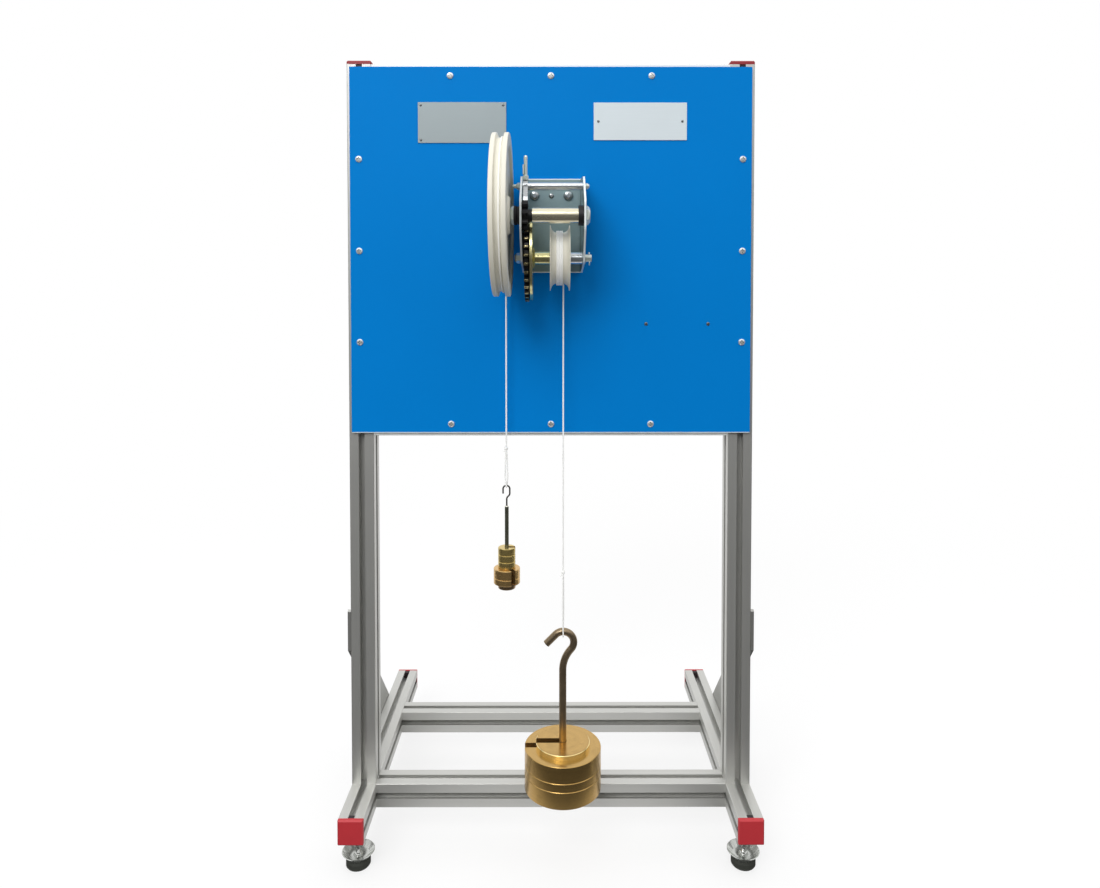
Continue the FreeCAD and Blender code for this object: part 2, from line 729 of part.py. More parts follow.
def make_drum_axle():
    """Bolt that the drum turns on, with a drilled tail."""
    y = front(drum_reach)
    flats = 2 * (axle_radius + axle_head_wall)
    head = hexagon(flats, axle_head_width, V(plate_left_out, y, drum_z), V(-1, 0, 0))
    shank = rod_x(plate_left_out, plate_right_out + axle_tail, y, drum_z, axle_radius)
    lean = V(0, 0.6, 0.8)
    middle = V(plate_right_out + axle_pin_place, y, drum_z)
    hole = Part.makeCylinder(axle_pin + seat_play, 4 * axle_radius, middle - lean * 2 * axle_radius, lean)
    return head.fuse(shank).cut(hole)


def make_load_pulley():
    """Small pulley with a wide hollow-sided groove."""
    half = pulley_width / 2
    floor = pulley_radius - pulley_groove_depth
    half_floor = pulley_groove_floor / 2
    inside = half - pulley_land
    middle_x = (inside + half_floor) / 2 + pulley_hollow * 0.7
    middle_z = (floor + pulley_radius) / 2 - pulley_hollow * 0.7
    bore = axle_radius + running
    right = [V(half_floor, 0, floor), V(middle_x, 0, middle_z), V(inside, 0, pulley_radius)]
    left = [V(-p.x, 0, p.z) for p in reversed(right)]
    edges = [Part.LineSegment(left[2], right[0]).toShape(),
             Part.Arc(*right).toShape(),
             Part.LineSegment(right[2], V(half, 0, pulley_radius)).toShape(),
             Part.LineSegment(V(half, 0, pulley_radius), V(half, 0, bore)).toShape(),
             Part.LineSegment(V(half, 0, bore), V(-half, 0, bore)).toShape(),
             Part.LineSegment(V(-half, 0, bore), V(-half, 0, pulley_radius)).toShape(),
             Part.LineSegment(V(-half, 0, pulley_radius), left[0]).toShape(),
             Part.Arc(*left).toShape()]
    solid = Part.Face(Part.Wire(Part.__sortEdges__(edges))).revolve(V(0, 0, 0), V(1, 0, 0), 360)
    solid.translate(V(pulley_x, front(drum_reach), drum_z))
    return solid


def make_input_wheel():
    """Large wheel: grooved rim, thinner web and a hub bored for the crank shaft."""
    half = wheel_width / 2
    floor = wheel_radius - wheel_groove_depth
    web = half - wheel_recess
    rim_inside = wheel_radius - wheel_rim
    one_side = [(wheel_groove_floor / 2, floor), (wheel_groove_mouth / 2, wheel_radius - 1.0),
                (wheel_groove_mouth / 2 + 1.0, wheel_radius), (half - 1.0, wheel_radius),
                (half, wheel_radius - 1.0), (half, rim_inside), (web, rim_inside - 3.0),
                (web, wheel_hub + 3.0), (half, wheel_hub), (half, crank_radius + seat_play)]
    points = one_side + [(-x, r) for x, r in reversed(one_side)]
    points = [(wheel_x + x, r) for x, r in points]
    return revolve_x(points, front(crank_reach), crank_z)


def make_crank_shaft():
    left = wheel_left - crank_nut_width
    right = plate_right_out + end_play + crank_nut_width
    return rod_x(left, right, front(crank_reach), crank_z, crank_radius)


def sleeve_span():
    """Ends along X of the sleeve between the flange's plane and the collar."""
    return flange_right + end_play, plate_right_in - end_play - crank_collar_width


def make_crank_sleeve():
    x0, x1 = sleeve_span()
    return tube_x(x0, x1, front(crank_reach), crank_z, crank_sleeve_radius, crank_radius + seat_play)


def make_crank_collar():
    x0 = sleeve_span()[1]
    return tube_x(x0, x0 + crank_collar_width, front(crank_reach), crank_z, crank_collar_radius,
                  crank_radius + seat_play)


def make_crank_nut():
    y = front(crank_reach)
    flats = 2 * (crank_radius + crank_nut_wall)
    nut = hexagon(flats, crank_nut_width, V(plate_right_out + end_play, y, crank_z), V(1, 0, 0))
    return nut.cut(rod_x(plate_right_out, plate_right_out + 20, y, crank_z, crank_radius + seat_play))


def make_brake_discs():
    """Two friction discs between the left side plate and the hub nut."""
    y = front(crank_reach)
    bore = crank_radius + seat_play
    discs = []
    for k in range(2):
        x1 = plate_left_out - end_play - k * brake_disc_width
        x0 = x1 - brake_disc_width + 0.4
        radius = crank_radius + brake_wall - (0.7 if k == 0 else 0.0)
        disc = revolve_x([(x0, bore), (x0, radius - 0.6), (x0 + 0.6, radius), (x1 - 0.6, radius),
                          (x1, radius - 0.6), (x1, bore)], y, crank_z)
        discs.append(disc)
    return discs


def make_hub_nuts():
    """Hexagon nuts on the two sides of the wheel's hub."""
    y = front(crank_reach)
    flats = 2 * (crank_radius + crank_nut_wall)
    inner = hexagon(flats, hub_nut_width, V(hub_nut_right, y, crank_z), V(-1, 0, 0))
    outer = hexagon(flats, crank_nut_width, V(wheel_left, y, crank_z), V(-1, 0, 0))
    bore = rod_x(wheel_left - 2 * crank_nut_width, hub_nut_right + 1, y, crank_z, crank_radius + seat_play)
    return [inner.cut(bore), outer.cut(bore)]


def make_turn(x, reach, z, radius):
    """One turn of cord lying in a groove."""
    return Part.makeTorus(radius, cord_radius, V(x, front(reach), z), V(1, 0, 0))


def make_pawl():
    """Pawl: an eye on the tie bar and an arm that ends just clear of the pinion's teeth."""
    y = front(tie_reach)
    x0 = pawl_left
    x1 = x0 + pawl_width
    dy = front(crank_reach) - y
    dz = crank_z - tie_z
    span = math.hypot(dy, dz)
    reach = span - pinion_tip - 0.6
    arm = polygon_face([V(x0, -7.0, 0), V(x0, -5.2, -reach * 0.72), V(x0, -1.9, -reach), V(x0, 1.9, -reach),
                        V(x0, 4.0, -reach * 0.72), V(x0, 7.0, 0)]).extrude(V(x1 - x0, 0, 0))
    arm.rotate(V(0, 0, 0), V(1, 0, 0), -math.degrees(math.atan2(-dy, -dz)))
    arm.translate(V(0, y, tie_z))
    eye = rod_x(x0, x1, y, tie_z, tie_radius + pawl_eye_wall)
    return eye.fuse(arm).cut(rod_x(x0 - 1, x1 + 1, y, tie_z, tie_radius + running)).removeSplitter()


def make_pawl_lever():
    """Threaded finger pin that stands on the pawl's eye, with its lock nut."""
    x = pawl_left + pawl_width / 2
    y = front(tie_reach + 1.0)
    seat = tie_z + tie_radius + pawl_eye_wall - 0.1
    pin = revolve_z([(0, seat), (2.7, seat), (2.7, seat + 30.0), (2.9, seat + 31.0), (2.9, seat + 34.0),
                     (2.0, seat + 36.4), (0, seat + 37.0)], x, y)
    nut = hexagon(8.4, 8.5, V(x, y, seat), V(0, 0, 1))
    nut.rotate(V(x, y, seat), V(0, 0, 1), 30)
    tab = box(x - 4.3, x - 2.2, y - 3.0, y + 3.0, seat + 8.5, seat + 23.0)
    seat_cut = rod_x(x - 8, x + 8, front(tie_reach), tie_z, tie_radius + pawl_eye_wall)
    return pin.fuse(nut).fuse(tab).cut(seat_cut)


def make_cord(x, y, low, high):
    return rod_z(low, high, x, y, cord_radius)


def make_loop(x, y, knot_z, hook_z, wire):
    """Knot and the loop under it that passes beneath the hook's wire."""
    bend = wire + cord_radius + cord_play
    run = knot_z - hook_z
    lean = math.asin(bend / run)
    touch_y = bend * math.cos(lean)
    touch_z = bend * math.sin(lean)
    length = run * math.cos(lean)
    pieces = []
    for side in (-1, 1):
        way = V(0, side * math.sin(lean), -math.cos(lean))
        pieces.append(Part.makeCylinder(cord_radius, length, V(x, y, knot_z), way))
    turned = math.degrees(lean)
    ring = Part.makeTorus(bend, cord_radius, V(0, 0, 0), V(0, 0, 1), -180, 180, 180 + 2 * turned)
    ring.rotate(V(0, 0, 0), V(0, 0, 1), 180 - turned)
    ring.rotate(V(0, 0, 0), V(1, 0, 0), 90)
    ring.rotate(V(0, 0, 0), V(0, 0, 1), 90)
    ring.translate(V(x, y, hook_z))
    loop = Part.makeSphere(knot_radius, V(x, y, knot_z))
    for piece in pieces + [ring]:
        loop = loop.fuse(piece)
    return loop


def path_pipe(edges, section):
    """Round section carried along straight runs and arcs that meet smoothly."""
    return Part.Wire(edges).makePipeShell([section], True, False)


def arc_through(start, end, centre, radius):
    """Arc from start to end round a centre, the short way."""
    middle = ((start - centre).normalize() + (end - centre).normalize()).normalize() * radius
    return Part.Arc(start, centre + middle, end).toShape()


def load_hook_path():
    """Line of the thick hook in X, Z from its tip to the straight stem on X = 0, with its top at Z = 0."""
    bend = load_hook_bend
    back = load_hook_return
    centre = V(load_hook_side, 0, -bend)
    a = math.radians(load_hook_tip_angle)
    start = centre + V(bend * math.cos(a), 0, bend * math.sin(a))
    tip = start + V(-math.sin(a), 0, math.cos(a)) * load_hook_leg
    drop = math.sqrt((bend + back) ** 2 - (back - load_hook_side) ** 2)
    low = V(back, 0, -bend - drop)
    join = centre + (low - centre).normalize() * bend
    stem_top = low + V(-back, 0, 0)
    return [Part.LineSegment(tip, start).toShape(),
            Part.Arc(start, centre + V(0, 0, bend), join).toShape(),
            arc_through(join, stem_top, low, back)], tip, stem_top


def effort_hook_path():
    """Line of the thin hook in X, Z: over the bend, straight down, then a double bend to the stem."""
    bend = effort_hook_bend
    back = effort_hook_return
    centre = V(effort_hook_side, 0, -bend)
    start = centre + V(-bend, 0, 0)
    tip = start + V(0, 0, -effort_hook_leg)
    right = centre + V(bend, 0, 0)
    low = right + V(0, 0, -effort_hook_drop)
    turn = math.acos(1 - right.x / (2 * back))
    first = low + V(-back, 0, 0)
    join = first + V(back * math.cos(turn), 0, -back * math.sin(turn))
    second = join + V(back * math.cos(turn), 0, -back * math.sin(turn))
    stem_top = second + V(-back, 0, 0)
    return [Part.LineSegment(tip, start).toShape(),
            Part.Arc(start, centre + V(0, 0, bend), right).toShape(),
            Part.LineSegment(right, low).toShape(),
            arc_through(low, join, first, back),
            arc_through(join, stem_top, second, back)], tip, stem_top


def make_hook(x, y, z, wire, path, foot):
    """Bent round wire whose straight stem ends at the height foot."""
    edges, tip, stem_top = path
    stem = Part.LineSegment(stem_top, V(0, 0, foot - z)).toShape()
    section = Part.Wire([Part.Circle(tip, edges[0].tangentAt(edges[0].FirstParameter), wire).toShape()])
    hook = path_pipe(edges + [stem], section)
    hook.translate(V(x, y, z))
    return hook


def make_effort_hook():
    """Thin wire hook whose stem is seated in the rod's top."""
    foot = effort_rod_top - 10.0
    return make_hook(effort_rod_x, effort_y, effort_hook_z, effort_wire, effort_hook_path(), foot)


def make_effort_rod():
    """Turned rod with a rounded top, drilled for the hook and carried down through the base mass."""
    top = effort_rod_top
    points = [(0, effort_base_z), (effort_rod_radius, effort_base_z), (effort_rod_radius, top - 1.6),
              (effort_rod_radius * 0.6, top), (0, top)]
    rod = revolve_z(points, effort_rod_x, effort_y)
    return rod.cut(rod_z(top - 10.0, top + 1, effort_rod_x, effort_y, effort_wire + seat_play))


def disc(x, y, z0, z1, radius):
    """Turned disc with its sharp edges broken."""
    c = mass_chamfer
    side = [(radius - c, z0), (radius, z0 + c), (radius, z1 - c), (radius - c, z1)]
    return revolve_z([(0, z0)] + side + [(0, z1)], x, y)


def slot_cutter(x, y, z0, z1, width, length, angle):
    """Slot from a disc's middle outwards at an angle from +X, with a round inner end."""
    cutter = box(0, length, -width / 2, width / 2, z0 - 1, z1 + 1)
    cutter = cutter.fuse(rod_z(z0 - 1, z1 + 1, 0, 0, width / 2))
    cutter.rotate(V(0, 0, 0), V(0, 0, 1), angle)
    cutter.translate(V(x, y, 0))
    return cutter


def slotted_disc(x, y, z0, z1, radius, width, angle):
    return disc(x, y, z0, z1, radius).cut(slot_cutter(x, y, z0, z1, width, radius + 5, angle))


def make_effort_base():
    base = disc(effort_rod_x, effort_y, effort_base_z, effort_large_z, effort_base_radius)
    bore = effort_rod_radius + seat_play
    return base.cut(rod_z(effort_base_z - 1, effort_large_z + 1, effort_rod_x, effort_y, bore))


def make_effort_large():
    discs = []
    z = effort_large_z
    for height in effort_large_heights:
        discs.append(slotted_disc(effort_rod_x, effort_y, z, z + height, effort_large_radius, effort_slot,
                                  effort_large_slot_angle))
        z += height
    return discs


def make_effort_small():
    return [slotted_disc(effort_rod_x, effort_y, effort_small_z + k * effort_small_height,
                         effort_small_z + (k + 1) * effort_small_height, effort_small_radius, effort_slot,
                         effort_small_slot_angle) for k in range(effort_small_count)]


def make_load_hook():
    """Thick rod: hook, stem and the shank that is fixed in the base mass."""
    return make_hook(load_stem_x, load_y, load_hook_z, load_wire, load_hook_path(), load_base_z)


def make_load_base():
    base = disc(load_stem_x, load_y, load_base_z, load_middle_z, load_radius)
    bore = load_wire + seat_play
    return base.cut(rod_z(load_base_z - 1, load_middle_z + 1, load_stem_x, load_y, bore))


def make_load_middle():
    return slotted_disc(load_stem_x, load_y, load_middle_z, load_top_z, load_radius, load_slot,
                        load_slot_angle)


def make_load_top():
    """Slotted mass with a raised boss on its top."""
    top = load_top_z + load_top_height
    mass = disc(load_stem_x, load_y, load_top_z, top, load_radius)
    boss = disc(load_stem_x, load_y, top - 2 * mass_chamfer, top + load_boss_height, load_boss_radius)
    mass = mass.fuse(boss)
    cutter = slot_cutter(load_stem_x, load_y, load_top_z, top + load_boss_height, load_slot, load_radius + 5,
                         load_slot_angle)
    return mass.cut(cutter).removeSplitter()


def foot_places():
    """Name, X and Y of the four feet."""
    front_y = -rail_front + foot_inset_front
    back_y = rail_back - foot_inset_back
    return [("front_left", -upright_x, front_y), ("front_right", upright_x, front_y),
            ("rear_left", -upright_x, back_y), ("rear_right", upright_x, back_y)]


def make_foot(x, y):
    """Pressed steel dish on a threaded stud."""
    z = foot_pad_height
    wall = foot_dish_wall
    rise = foot_dish_rise
    hub = foot_hub_radius
    rim = foot_dish_radius
    top = ground_gap + foot_stud_engage
    points = [(0, z), (foot_pad_radius - 2.0, z), (rim - 1.0, z + rise), (rim, z + rise + 1.0),
              (rim - 1.2, z + rise + wall), (foot_pad_radius - 4.5, z + wall + 1.2), (hub, z + wall + 1.8),
              (hub - 1.5, z + 6.5), (foot_stud_radius, z + 7.5), (foot_stud_radius, top - 1.0),
              (foot_stud_radius - 1.0, top), (0, top)]
    return revolve_z(points, x, y)


def make_foot_pad(x, y):
    """Moulded pad under the dish, with a bevelled tread."""
    r = foot_pad_radius
    return revolve_z([(0, 0), (r - 1.5, 0), (r, 2.0), (r, foot_pad_height - 3.5), (r - 2.0, foot_pad_height),
                      (0, foot_pad_height)], x, y)


def make_foot_nuts():
    """Lock nuts against the undersides of the side rails."""
    nuts = []
    for _, x, y in foot_places():
        nut = hexagon(foot_nut_flats, foot_nut_height, V(x, y, ground_gap), V(0, 0, -1))
        nuts.append(nut.cut(rod_z(0, rail_top, x, y, foot_stud_radius + running)))
    return nuts


def build_nodes():
    """Every sub-part by name."""
    crank = (crank_reach, crank_z)
    drum = (drum_reach, drum_z)
    side_rail = make_side_rail()
    upright = make_upright()
    nodes = {
        "side_rail_left": side_rail.mirror(V(0, 0, 0), V(1, 0, 0)),
        "side_rail_right": side_rail,
        "cross_rail_front": rail_along_x(cross_length, half_profile, rail_z),
        "cross_rail_rear": rail_along_x(cross_length, cross_back + half_profile, rail_z),
        "upright_left": upright.mirror(V(0, 0, 0), V(1, 0, 0)),
        "upright_right": upright,
        "panel_rails": [rail_along_x(cross_length, half_profile, z) for z in panel_rail_middles()],
        "braces": mirror_pair(make_brace()),
        "end_caps": make_end_caps(),
        "frame_screws": make_frame_screws(),
        "front_panel": make_panel(),
        "panel_screws": make_panel_screws(),
        "nameplate_left": make_nameplate(left_plate),
        "nameplate_right": make_nameplate(right_plate),
        "small_screws": make_small_screws(),
        "winch_frame": make_winch_frame(),
        "winch_mount_bolts": make_mount_bolts(),
        "tie_bar": make_tie_bar(),
        "axle_fasteners": make_axle_fasteners(),
        "shaft_bushes": make_shaft_bushes(),
        "drum_axle": make_drum_axle(),
        "crank_shaft": make_crank_shaft(),
        "pinion": make_pinion(),
        "crank_sleeve": make_crank_sleeve(),
        "crank_collar": make_crank_collar(),
        "crank_nut": make_crank_nut(),
        "brake_discs": make_brake_discs(),
        "hub_nuts": make_hub_nuts(),
        "input_wheel": make_input_wheel(),
        "effort_cord_turn": make_turn(effort_x + turn_pitch, *crank, effort_turn_radius),
        "drum_gear": make_drum_gear(),
        "drum_flange": make_drum_flange(),
        "drum_sleeve": make_drum_sleeve(),
        "load_pulley": make_load_pulley(),
        "pulley_spacer": make_pulley_spacer(),
        "load_cord_turn": make_turn(load_x - turn_pitch, *drum, load_turn_radius),
        "pawl": make_pawl(),
        "pawl_lever": make_pawl_lever(),
        "effort_cord": make_cord(effort_x, effort_y, effort_knot_z + knot_radius, crank_z),
        "effort_loop": make_loop(effort_x, effort_y, effort_knot_z, effort_hook_z, effort_wire),
        "effort_hook": make_effort_hook(),
        "effort_rod": make_effort_rod(),
        "effort_base_mass": make_effort_base(),
        "effort_masses_large": make_effort_large(),
        "effort_masses_small": make_effort_small(),
        "load_cord": make_cord(load_x, load_y, load_knot_z + knot_radius, drum_z),
        "load_loop": make_loop(load_x, load_y, load_knot_z, load_hook_z, load_wire),
        "load_hook": make_load_hook(),
        "load_base_mass": make_load_base(),
        "load_mass_middle": make_load_middle(),
        "load_mass_top": make_load_top(),
        "foot_nuts": make_foot_nuts(),
    }
    for name, x, y in foot_places():
        nodes["foot_" + name] = make_foot(x, y)
        nodes["foot_pad_" + name] = make_foot_pad(x, y)
    return nodes


def write_node(name, shape):
    """Write one sub-part, moved so that the middle of the footprint is at the origin."""
    solids = shape if isinstance(shape, list) else [shape]
    solids = [s for piece in solids for s in piece.Solids]
    moved = Part.makeCompound(solids) if len(solids) > 1 else solids[0]
    moved = moved.copy()
    moved.translate(V(0, shift_y, 0))
    moved.exportStep("parts/" + name + ".step")


os.makedirs("parts", exist_ok=True)
for node_name, node_shape in build_nodes().items():
    write_node(node_name, node_shape)
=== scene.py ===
"""Winch demonstration unit: aluminium stand, blue panel, hand winch and two hanging weights."""

import math

import bmesh
import bpy
from bpy.props import FloatProperty, FloatVectorProperty, IntProperty, PointerProperty
from mathutils import Euler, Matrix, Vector


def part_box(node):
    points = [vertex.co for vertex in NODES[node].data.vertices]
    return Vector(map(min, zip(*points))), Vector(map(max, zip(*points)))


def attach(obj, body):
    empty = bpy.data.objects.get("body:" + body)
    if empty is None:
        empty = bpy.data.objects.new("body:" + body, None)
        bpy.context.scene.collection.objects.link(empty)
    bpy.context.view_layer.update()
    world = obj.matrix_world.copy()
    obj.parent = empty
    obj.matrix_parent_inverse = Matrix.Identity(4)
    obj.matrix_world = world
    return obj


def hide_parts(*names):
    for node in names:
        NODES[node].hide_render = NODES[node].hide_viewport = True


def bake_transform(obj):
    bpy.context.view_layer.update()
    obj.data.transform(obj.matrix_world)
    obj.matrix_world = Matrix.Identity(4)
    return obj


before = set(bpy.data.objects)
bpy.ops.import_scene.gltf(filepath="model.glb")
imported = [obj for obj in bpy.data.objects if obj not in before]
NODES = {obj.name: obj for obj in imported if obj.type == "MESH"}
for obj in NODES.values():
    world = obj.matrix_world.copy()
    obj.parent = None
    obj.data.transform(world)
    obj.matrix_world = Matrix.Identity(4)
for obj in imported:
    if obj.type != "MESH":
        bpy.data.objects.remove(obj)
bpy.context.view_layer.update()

bl_info = {
    "name": "Winch demonstration unit",
    "version": (1, 0, 0),
    "blender": (4, 5, 0),
    "location": "View3D > Sidebar > Winch",
    "description": "Builds the finishes, cords and turned pieces of a winch demonstration unit",
    "category": "Add Mesh",
}

MM = 0.001
X, Y, Z = range(3)

# Points nearer than this many metres become one
WELD = 1e-6

WHITE = (1.0, 1.0, 1.0, 1.0)
BLACK = (0.0, 0.0, 0.0, 1.0)


def colour(red, green, blue):
    """Linear colour of a paint given in the 0 to 255 values of a screen."""
    def linear(value):
        value /= 255
        return value / 12.92 if value <= 0.04045 else ((value + 0.055) / 1.055) ** 2.4
    return (linear(red), linear(green), linear(blue), 1.0)


def middle(node):
    """Middle of a node's box at rest."""
    low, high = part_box(node)
    return (low + high) / 2


def wheel_size(node):
    """Half width and radius of a round node whose axis is X."""
    low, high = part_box(node)
    return (high.x - low.x) / 2, (high.z - low.z) / 2


# Settings

def length(name, description, default):
    """A size in metres that a user may change."""
    return FloatProperty(name=name, description=description, default=default, min=0.0,
                         subtype="DISTANCE", unit="LENGTH", precision=5)


def paint(name, description, red, green, blue):
    """A colour that a user may change, given in the 0 to 255 values of a screen."""
    return FloatVectorProperty(name=name, description=description, default=colour(red, green, blue),
                               size=4, min=0.0, max=1.0, subtype="COLOR")


class WinchViewSettings(bpy.types.PropertyGroup):
    """Where the unit is seen from."""
    lens: FloatProperty(name="Lens", description="Focal length for a 36 mm sensor", default=25.527,
                        unit="CAMERA")
    distance: length("Distance", "Camera to the panel's face", 1.2661)
    height: length("Height", "Camera above the floor", 0.9132)
    aside: length("Aside", "Camera right of the unit's middle", 0.0006)
    tilt: FloatProperty(name="Tilt", description="Camera turned down from level",
                        default=math.radians(1.706), subtype="ANGLE")
    turn: FloatProperty(name="Turn", description="Camera turned to the right",
                        default=math.radians(0.115), subtype="ANGLE")
    shift_x: FloatProperty(name="Shift X", description="Sensor shift across", default=-0.00257)
    shift_y: FloatProperty(name="Shift Y", description="Sensor shift upright", default=-0.11277)


class WinchStageSettings(bpy.types.PropertyGroup):
    """Floor and light."""
    floor: paint("Floor", "Colour of the floor", 132, 132, 131)
    floor_radius: length("Floor radius", "Radius of the floor", 40.0)
    key_power: FloatProperty(name="Key lamp", description="Strength of the large lamp upper left",
                             default=66.0, unit="POWER")
    key_size: length("Key lamp size", "Width and height of the large lamp", 1.7)
    horizon: FloatProperty(name="Horizon", description="Strength of the soft light from the sides",
                           default=0.46)
    zenith: FloatProperty(name="Zenith", description="Strength of the soft light from above",
                          default=1.30)


class WinchCordSettings(bpy.types.PropertyGroup):
    """The two white cords."""
    diameter: length("Diameter", "Diameter of the cord", 2.5 * MM)
    plait: length("Plait", "Length in which a yarn of the braid goes once round", 6.0 * MM)
    relief: length("Relief", "How far the yarns stand out", 0.06 * MM)
    yarns: IntProperty(name="Yarns", description="Yarns in each direction of the braid", default=4)
    sides: IntProperty(name="Sides", description="Faces round the cord", default=24)
    white: paint("White", "Colour of the cord", 255, 255, 253)
    shade: paint("Shade", "Second colour of the fibre", 247, 247, 244)


class WinchColourSettings(bpy.types.PropertyGroup):
    """Colours of the finishes."""
    aluminium: paint("Aluminium", "Anodised profile", 208, 208, 204)
    # Painted light: lighter than the other aluminium, to lift the rails' shade.
    rail: paint("Panel rails", "Profiles behind the panel", 240, 242, 240)
    panel: paint("Panel", "Blue paint", 0, 124, 206)
    panel_edge: paint("Panel edge", "Panel's lower edge, sheared bare", 214, 222, 226)
    zinc: paint("Zinc", "Zinc plated steel", 186, 190, 192)
    screws: paint("Screws", "Bright screws of the stand and panel", 246, 250, 252)
    nuts: paint("Nuts", "Nuts and axle of the winch", 226, 234, 226)
    dishes: paint("Dishes", "Pressed dishes of the feet", 204, 206, 202)
    channel: paint("Channel", "Winch frame", 154, 178, 182)
    # Partly painted highlight: this bright colour stands for bare cut metal and for light caught on the
    # edges.
    channel_edge_and_highlight: paint("Channel edge", "Sheared edges of the winch frame", 238, 244, 244)
    yellow: paint("Yellow zinc", "Yellow passivated zinc", 232, 228, 150)
    pale: paint("Pale zinc", "Thinly passivated zinc of the crank sleeve", 244, 240, 214)
    warm: paint("Warm zinc", "Warmer drift in the passivated zinc", 240, 226, 196)
    black: paint("Black", "Blackened steel", 34, 34, 36)
    olive: paint("Olive", "Dull part of the rubbed tooth tips", 98, 86, 56)
    rubbed: paint("Rubbed", "Bright part of the rubbed tooth tips", 206, 194, 150)
    red: paint("Red", "Moulded caps", 182, 44, 52)
    # Painted shade: the tongues are dark as if sunk in the slot's shade.
    tongue: paint("Tongue", "Tongues of the caps in the slots", 36, 22, 28)
    nylon: paint("Nylon", "White wheel and pulley", 228, 225, 211)
    brass: paint("Brass", "Turned weights", 200, 164, 100)
    # Painted highlight: this colour fills the bright band on the top weight's rim.
    glint: paint("Glint", "Freshly turned rim of the top weight", 255, 236, 176)
    effort_base: paint("Effort base", "Lowest small weight", 168, 142, 112)
    effort_large: paint("Effort large", "Wider small weights", 222, 184, 122)
    effort_small: paint("Effort small", "Narrow small weights", 218, 194, 124)
    bronze: paint("Bronze", "Dull brass hook", 156, 138, 112)
    rod: paint("Rod", "Rod of the small weights", 132, 134, 116)
    rod_end: paint("Rod end", "Bright end of the rod", 232, 230, 216)
    hook: paint("Hook", "Steel hook of the small weights", 104, 102, 98)
    rubber: paint("Rubber", "Feet", 50, 52, 47)
    plate_left: paint("Left plate", "Brushed bare plate", 150, 160, 163)
    plate_right: paint("Right plate", "White bare plate", 212, 222, 227)


class WinchUnitSettings(bpy.types.PropertyGroup):
    """Everything a user may change."""
    view: PointerProperty(type=WinchViewSettings)
    stage: PointerProperty(type=WinchStageSettings)
    cord: PointerProperty(type=WinchCordSettings)
    colours: PointerProperty(type=WinchColourSettings)


# Materials

class Value:
    """A shader socket in a Python expression: every operator adds its Math node."""

    def __init__(self, nodes, socket):
        self.nodes = nodes
        self.socket = socket

    def _math(self, operation, first, second=0.0):
        return self.nodes.node("ShaderNodeMath", {"operation": operation}, {0: first, 1: second})

    def __add__(self, other):
        return self._math("ADD", self, other)

    def __radd__(self, other):
        return self._math("ADD", other, self)

    def __sub__(self, other):
        return self._math("SUBTRACT", self, other)

    def __rsub__(self, other):
        return self._math("SUBTRACT", other, self)

    def __mul__(self, other):
        return self._math("MULTIPLY", self, other)

    def __rmul__(self, other):
        return self._math("MULTIPLY", other, self)

    def __gt__(self, other):
        return self._math("GREATER_THAN", self, other)

    def __lt__(self, other):
        return self._math("LESS_THAN", self, other)

    def __abs__(self):
        return self._math("ABSOLUTE", self)


class Nodes:
    """A shader's node tree, with one method that adds any node."""

    def __init__(self, tree):
        self.tree = tree
        tree.nodes.clear()

    def feed(self, socket, value):
        """Links a value to a socket, or sets the socket to a plain number, colour or vector."""
        if isinstance(value, Value):
            self.tree.links.new(value.socket, socket)
        else:
            socket.default_value = value

    def node(self, kind, settings=None, inputs=None, output=0):
        """Adds a node, with its settings first and then what goes into its sockets."""
        made = self.tree.nodes.new(kind)
        for name, value in (settings or {}).items():
            setattr(made, name, value)
        for key, value in (inputs or {}).items():
            self.feed(made.inputs[key], value)
        return Value(self, made.outputs[output]) if made.outputs else made

    def place(self, shift=(0, 0, 0), scale=(1, 1, 1)):
        """Coordinates of the piece in metres, moved and then scaled."""
        where = self.node("ShaderNodeTexCoord", output="Object")
        moved = self.node("ShaderNodeVectorMath", {"operation": "SUBTRACT"}, {0: where, 1: shift})
        return self.node("ShaderNodeVectorMath", {"operation": "MULTIPLY"}, {0: moved, 1: scale})

    def noise(self, where, scale, detail=3.0, roughness=0.5):
        """Cloudy noise through the piece."""
        return self.node("ShaderNodeTexNoise", {}, {"Vector": where, "Scale": scale, "Detail": detail,
                                                    "Roughness": roughness})

    def line_noise(self, along, scale, detail):
        """Noise of one number, for grain that runs in rings or lines."""
        return self.node("ShaderNodeTexNoise", {"noise_dimensions": "1D"},
                         {"W": along, "Scale": scale, "Detail": detail})

    def parts(self, where):
        """The three coordinates of a place."""
        split = self.node("ShaderNodeSeparateXYZ", {}, {0: where}).socket.node
        return [Value(self, out) for out in split.outputs]

    def radius(self, where, axis):
        """Distance from the line along an axis through the place's zero."""
        across = [0.0 if k == axis else 1.0 for k in range(3)]
        flat = self.node("ShaderNodeVectorMath", {"operation": "MULTIPLY"}, {0: where, 1: across})
        return self.node("ShaderNodeVectorMath", {"operation": "LENGTH"}, {0: flat}, output="Value")

    def blend(self, factor, low, high):
        """Mixes two colours, which are sockets 6 and 7 of the node."""
        return self.node("ShaderNodeMix", {"data_type": "RGBA"}, {0: factor, 6: low, 7: high}, output=2)

    def rise(self, value, start, end, first, last, way="SMOOTHSTEP"):
        """Goes from first to last while the value goes from start to end."""
        return self.node("ShaderNodeMapRange", {"interpolation_type": way},
                         {0: value, 1: start, 2: end, 3: first, 4: last})

    def crevice(self, distance):
        """1 in the open, 0 deep in a corner of the piece."""
        return self.node("ShaderNodeAmbientOcclusion", {"samples": 8, "only_local": True},
                         {"Distance": distance}, output="AO")

    def ray(self, kind):
        """1 for rays of a kind, else 0."""
        return self.node("ShaderNodeLightPath", output=f"Is {kind} Ray")

    def looked_at(self):
        """1 where the camera looks, straight on, in a reflection or through something."""
        return self.ray("Camera") + self.ray("Glossy") + self.ray("Transmission")


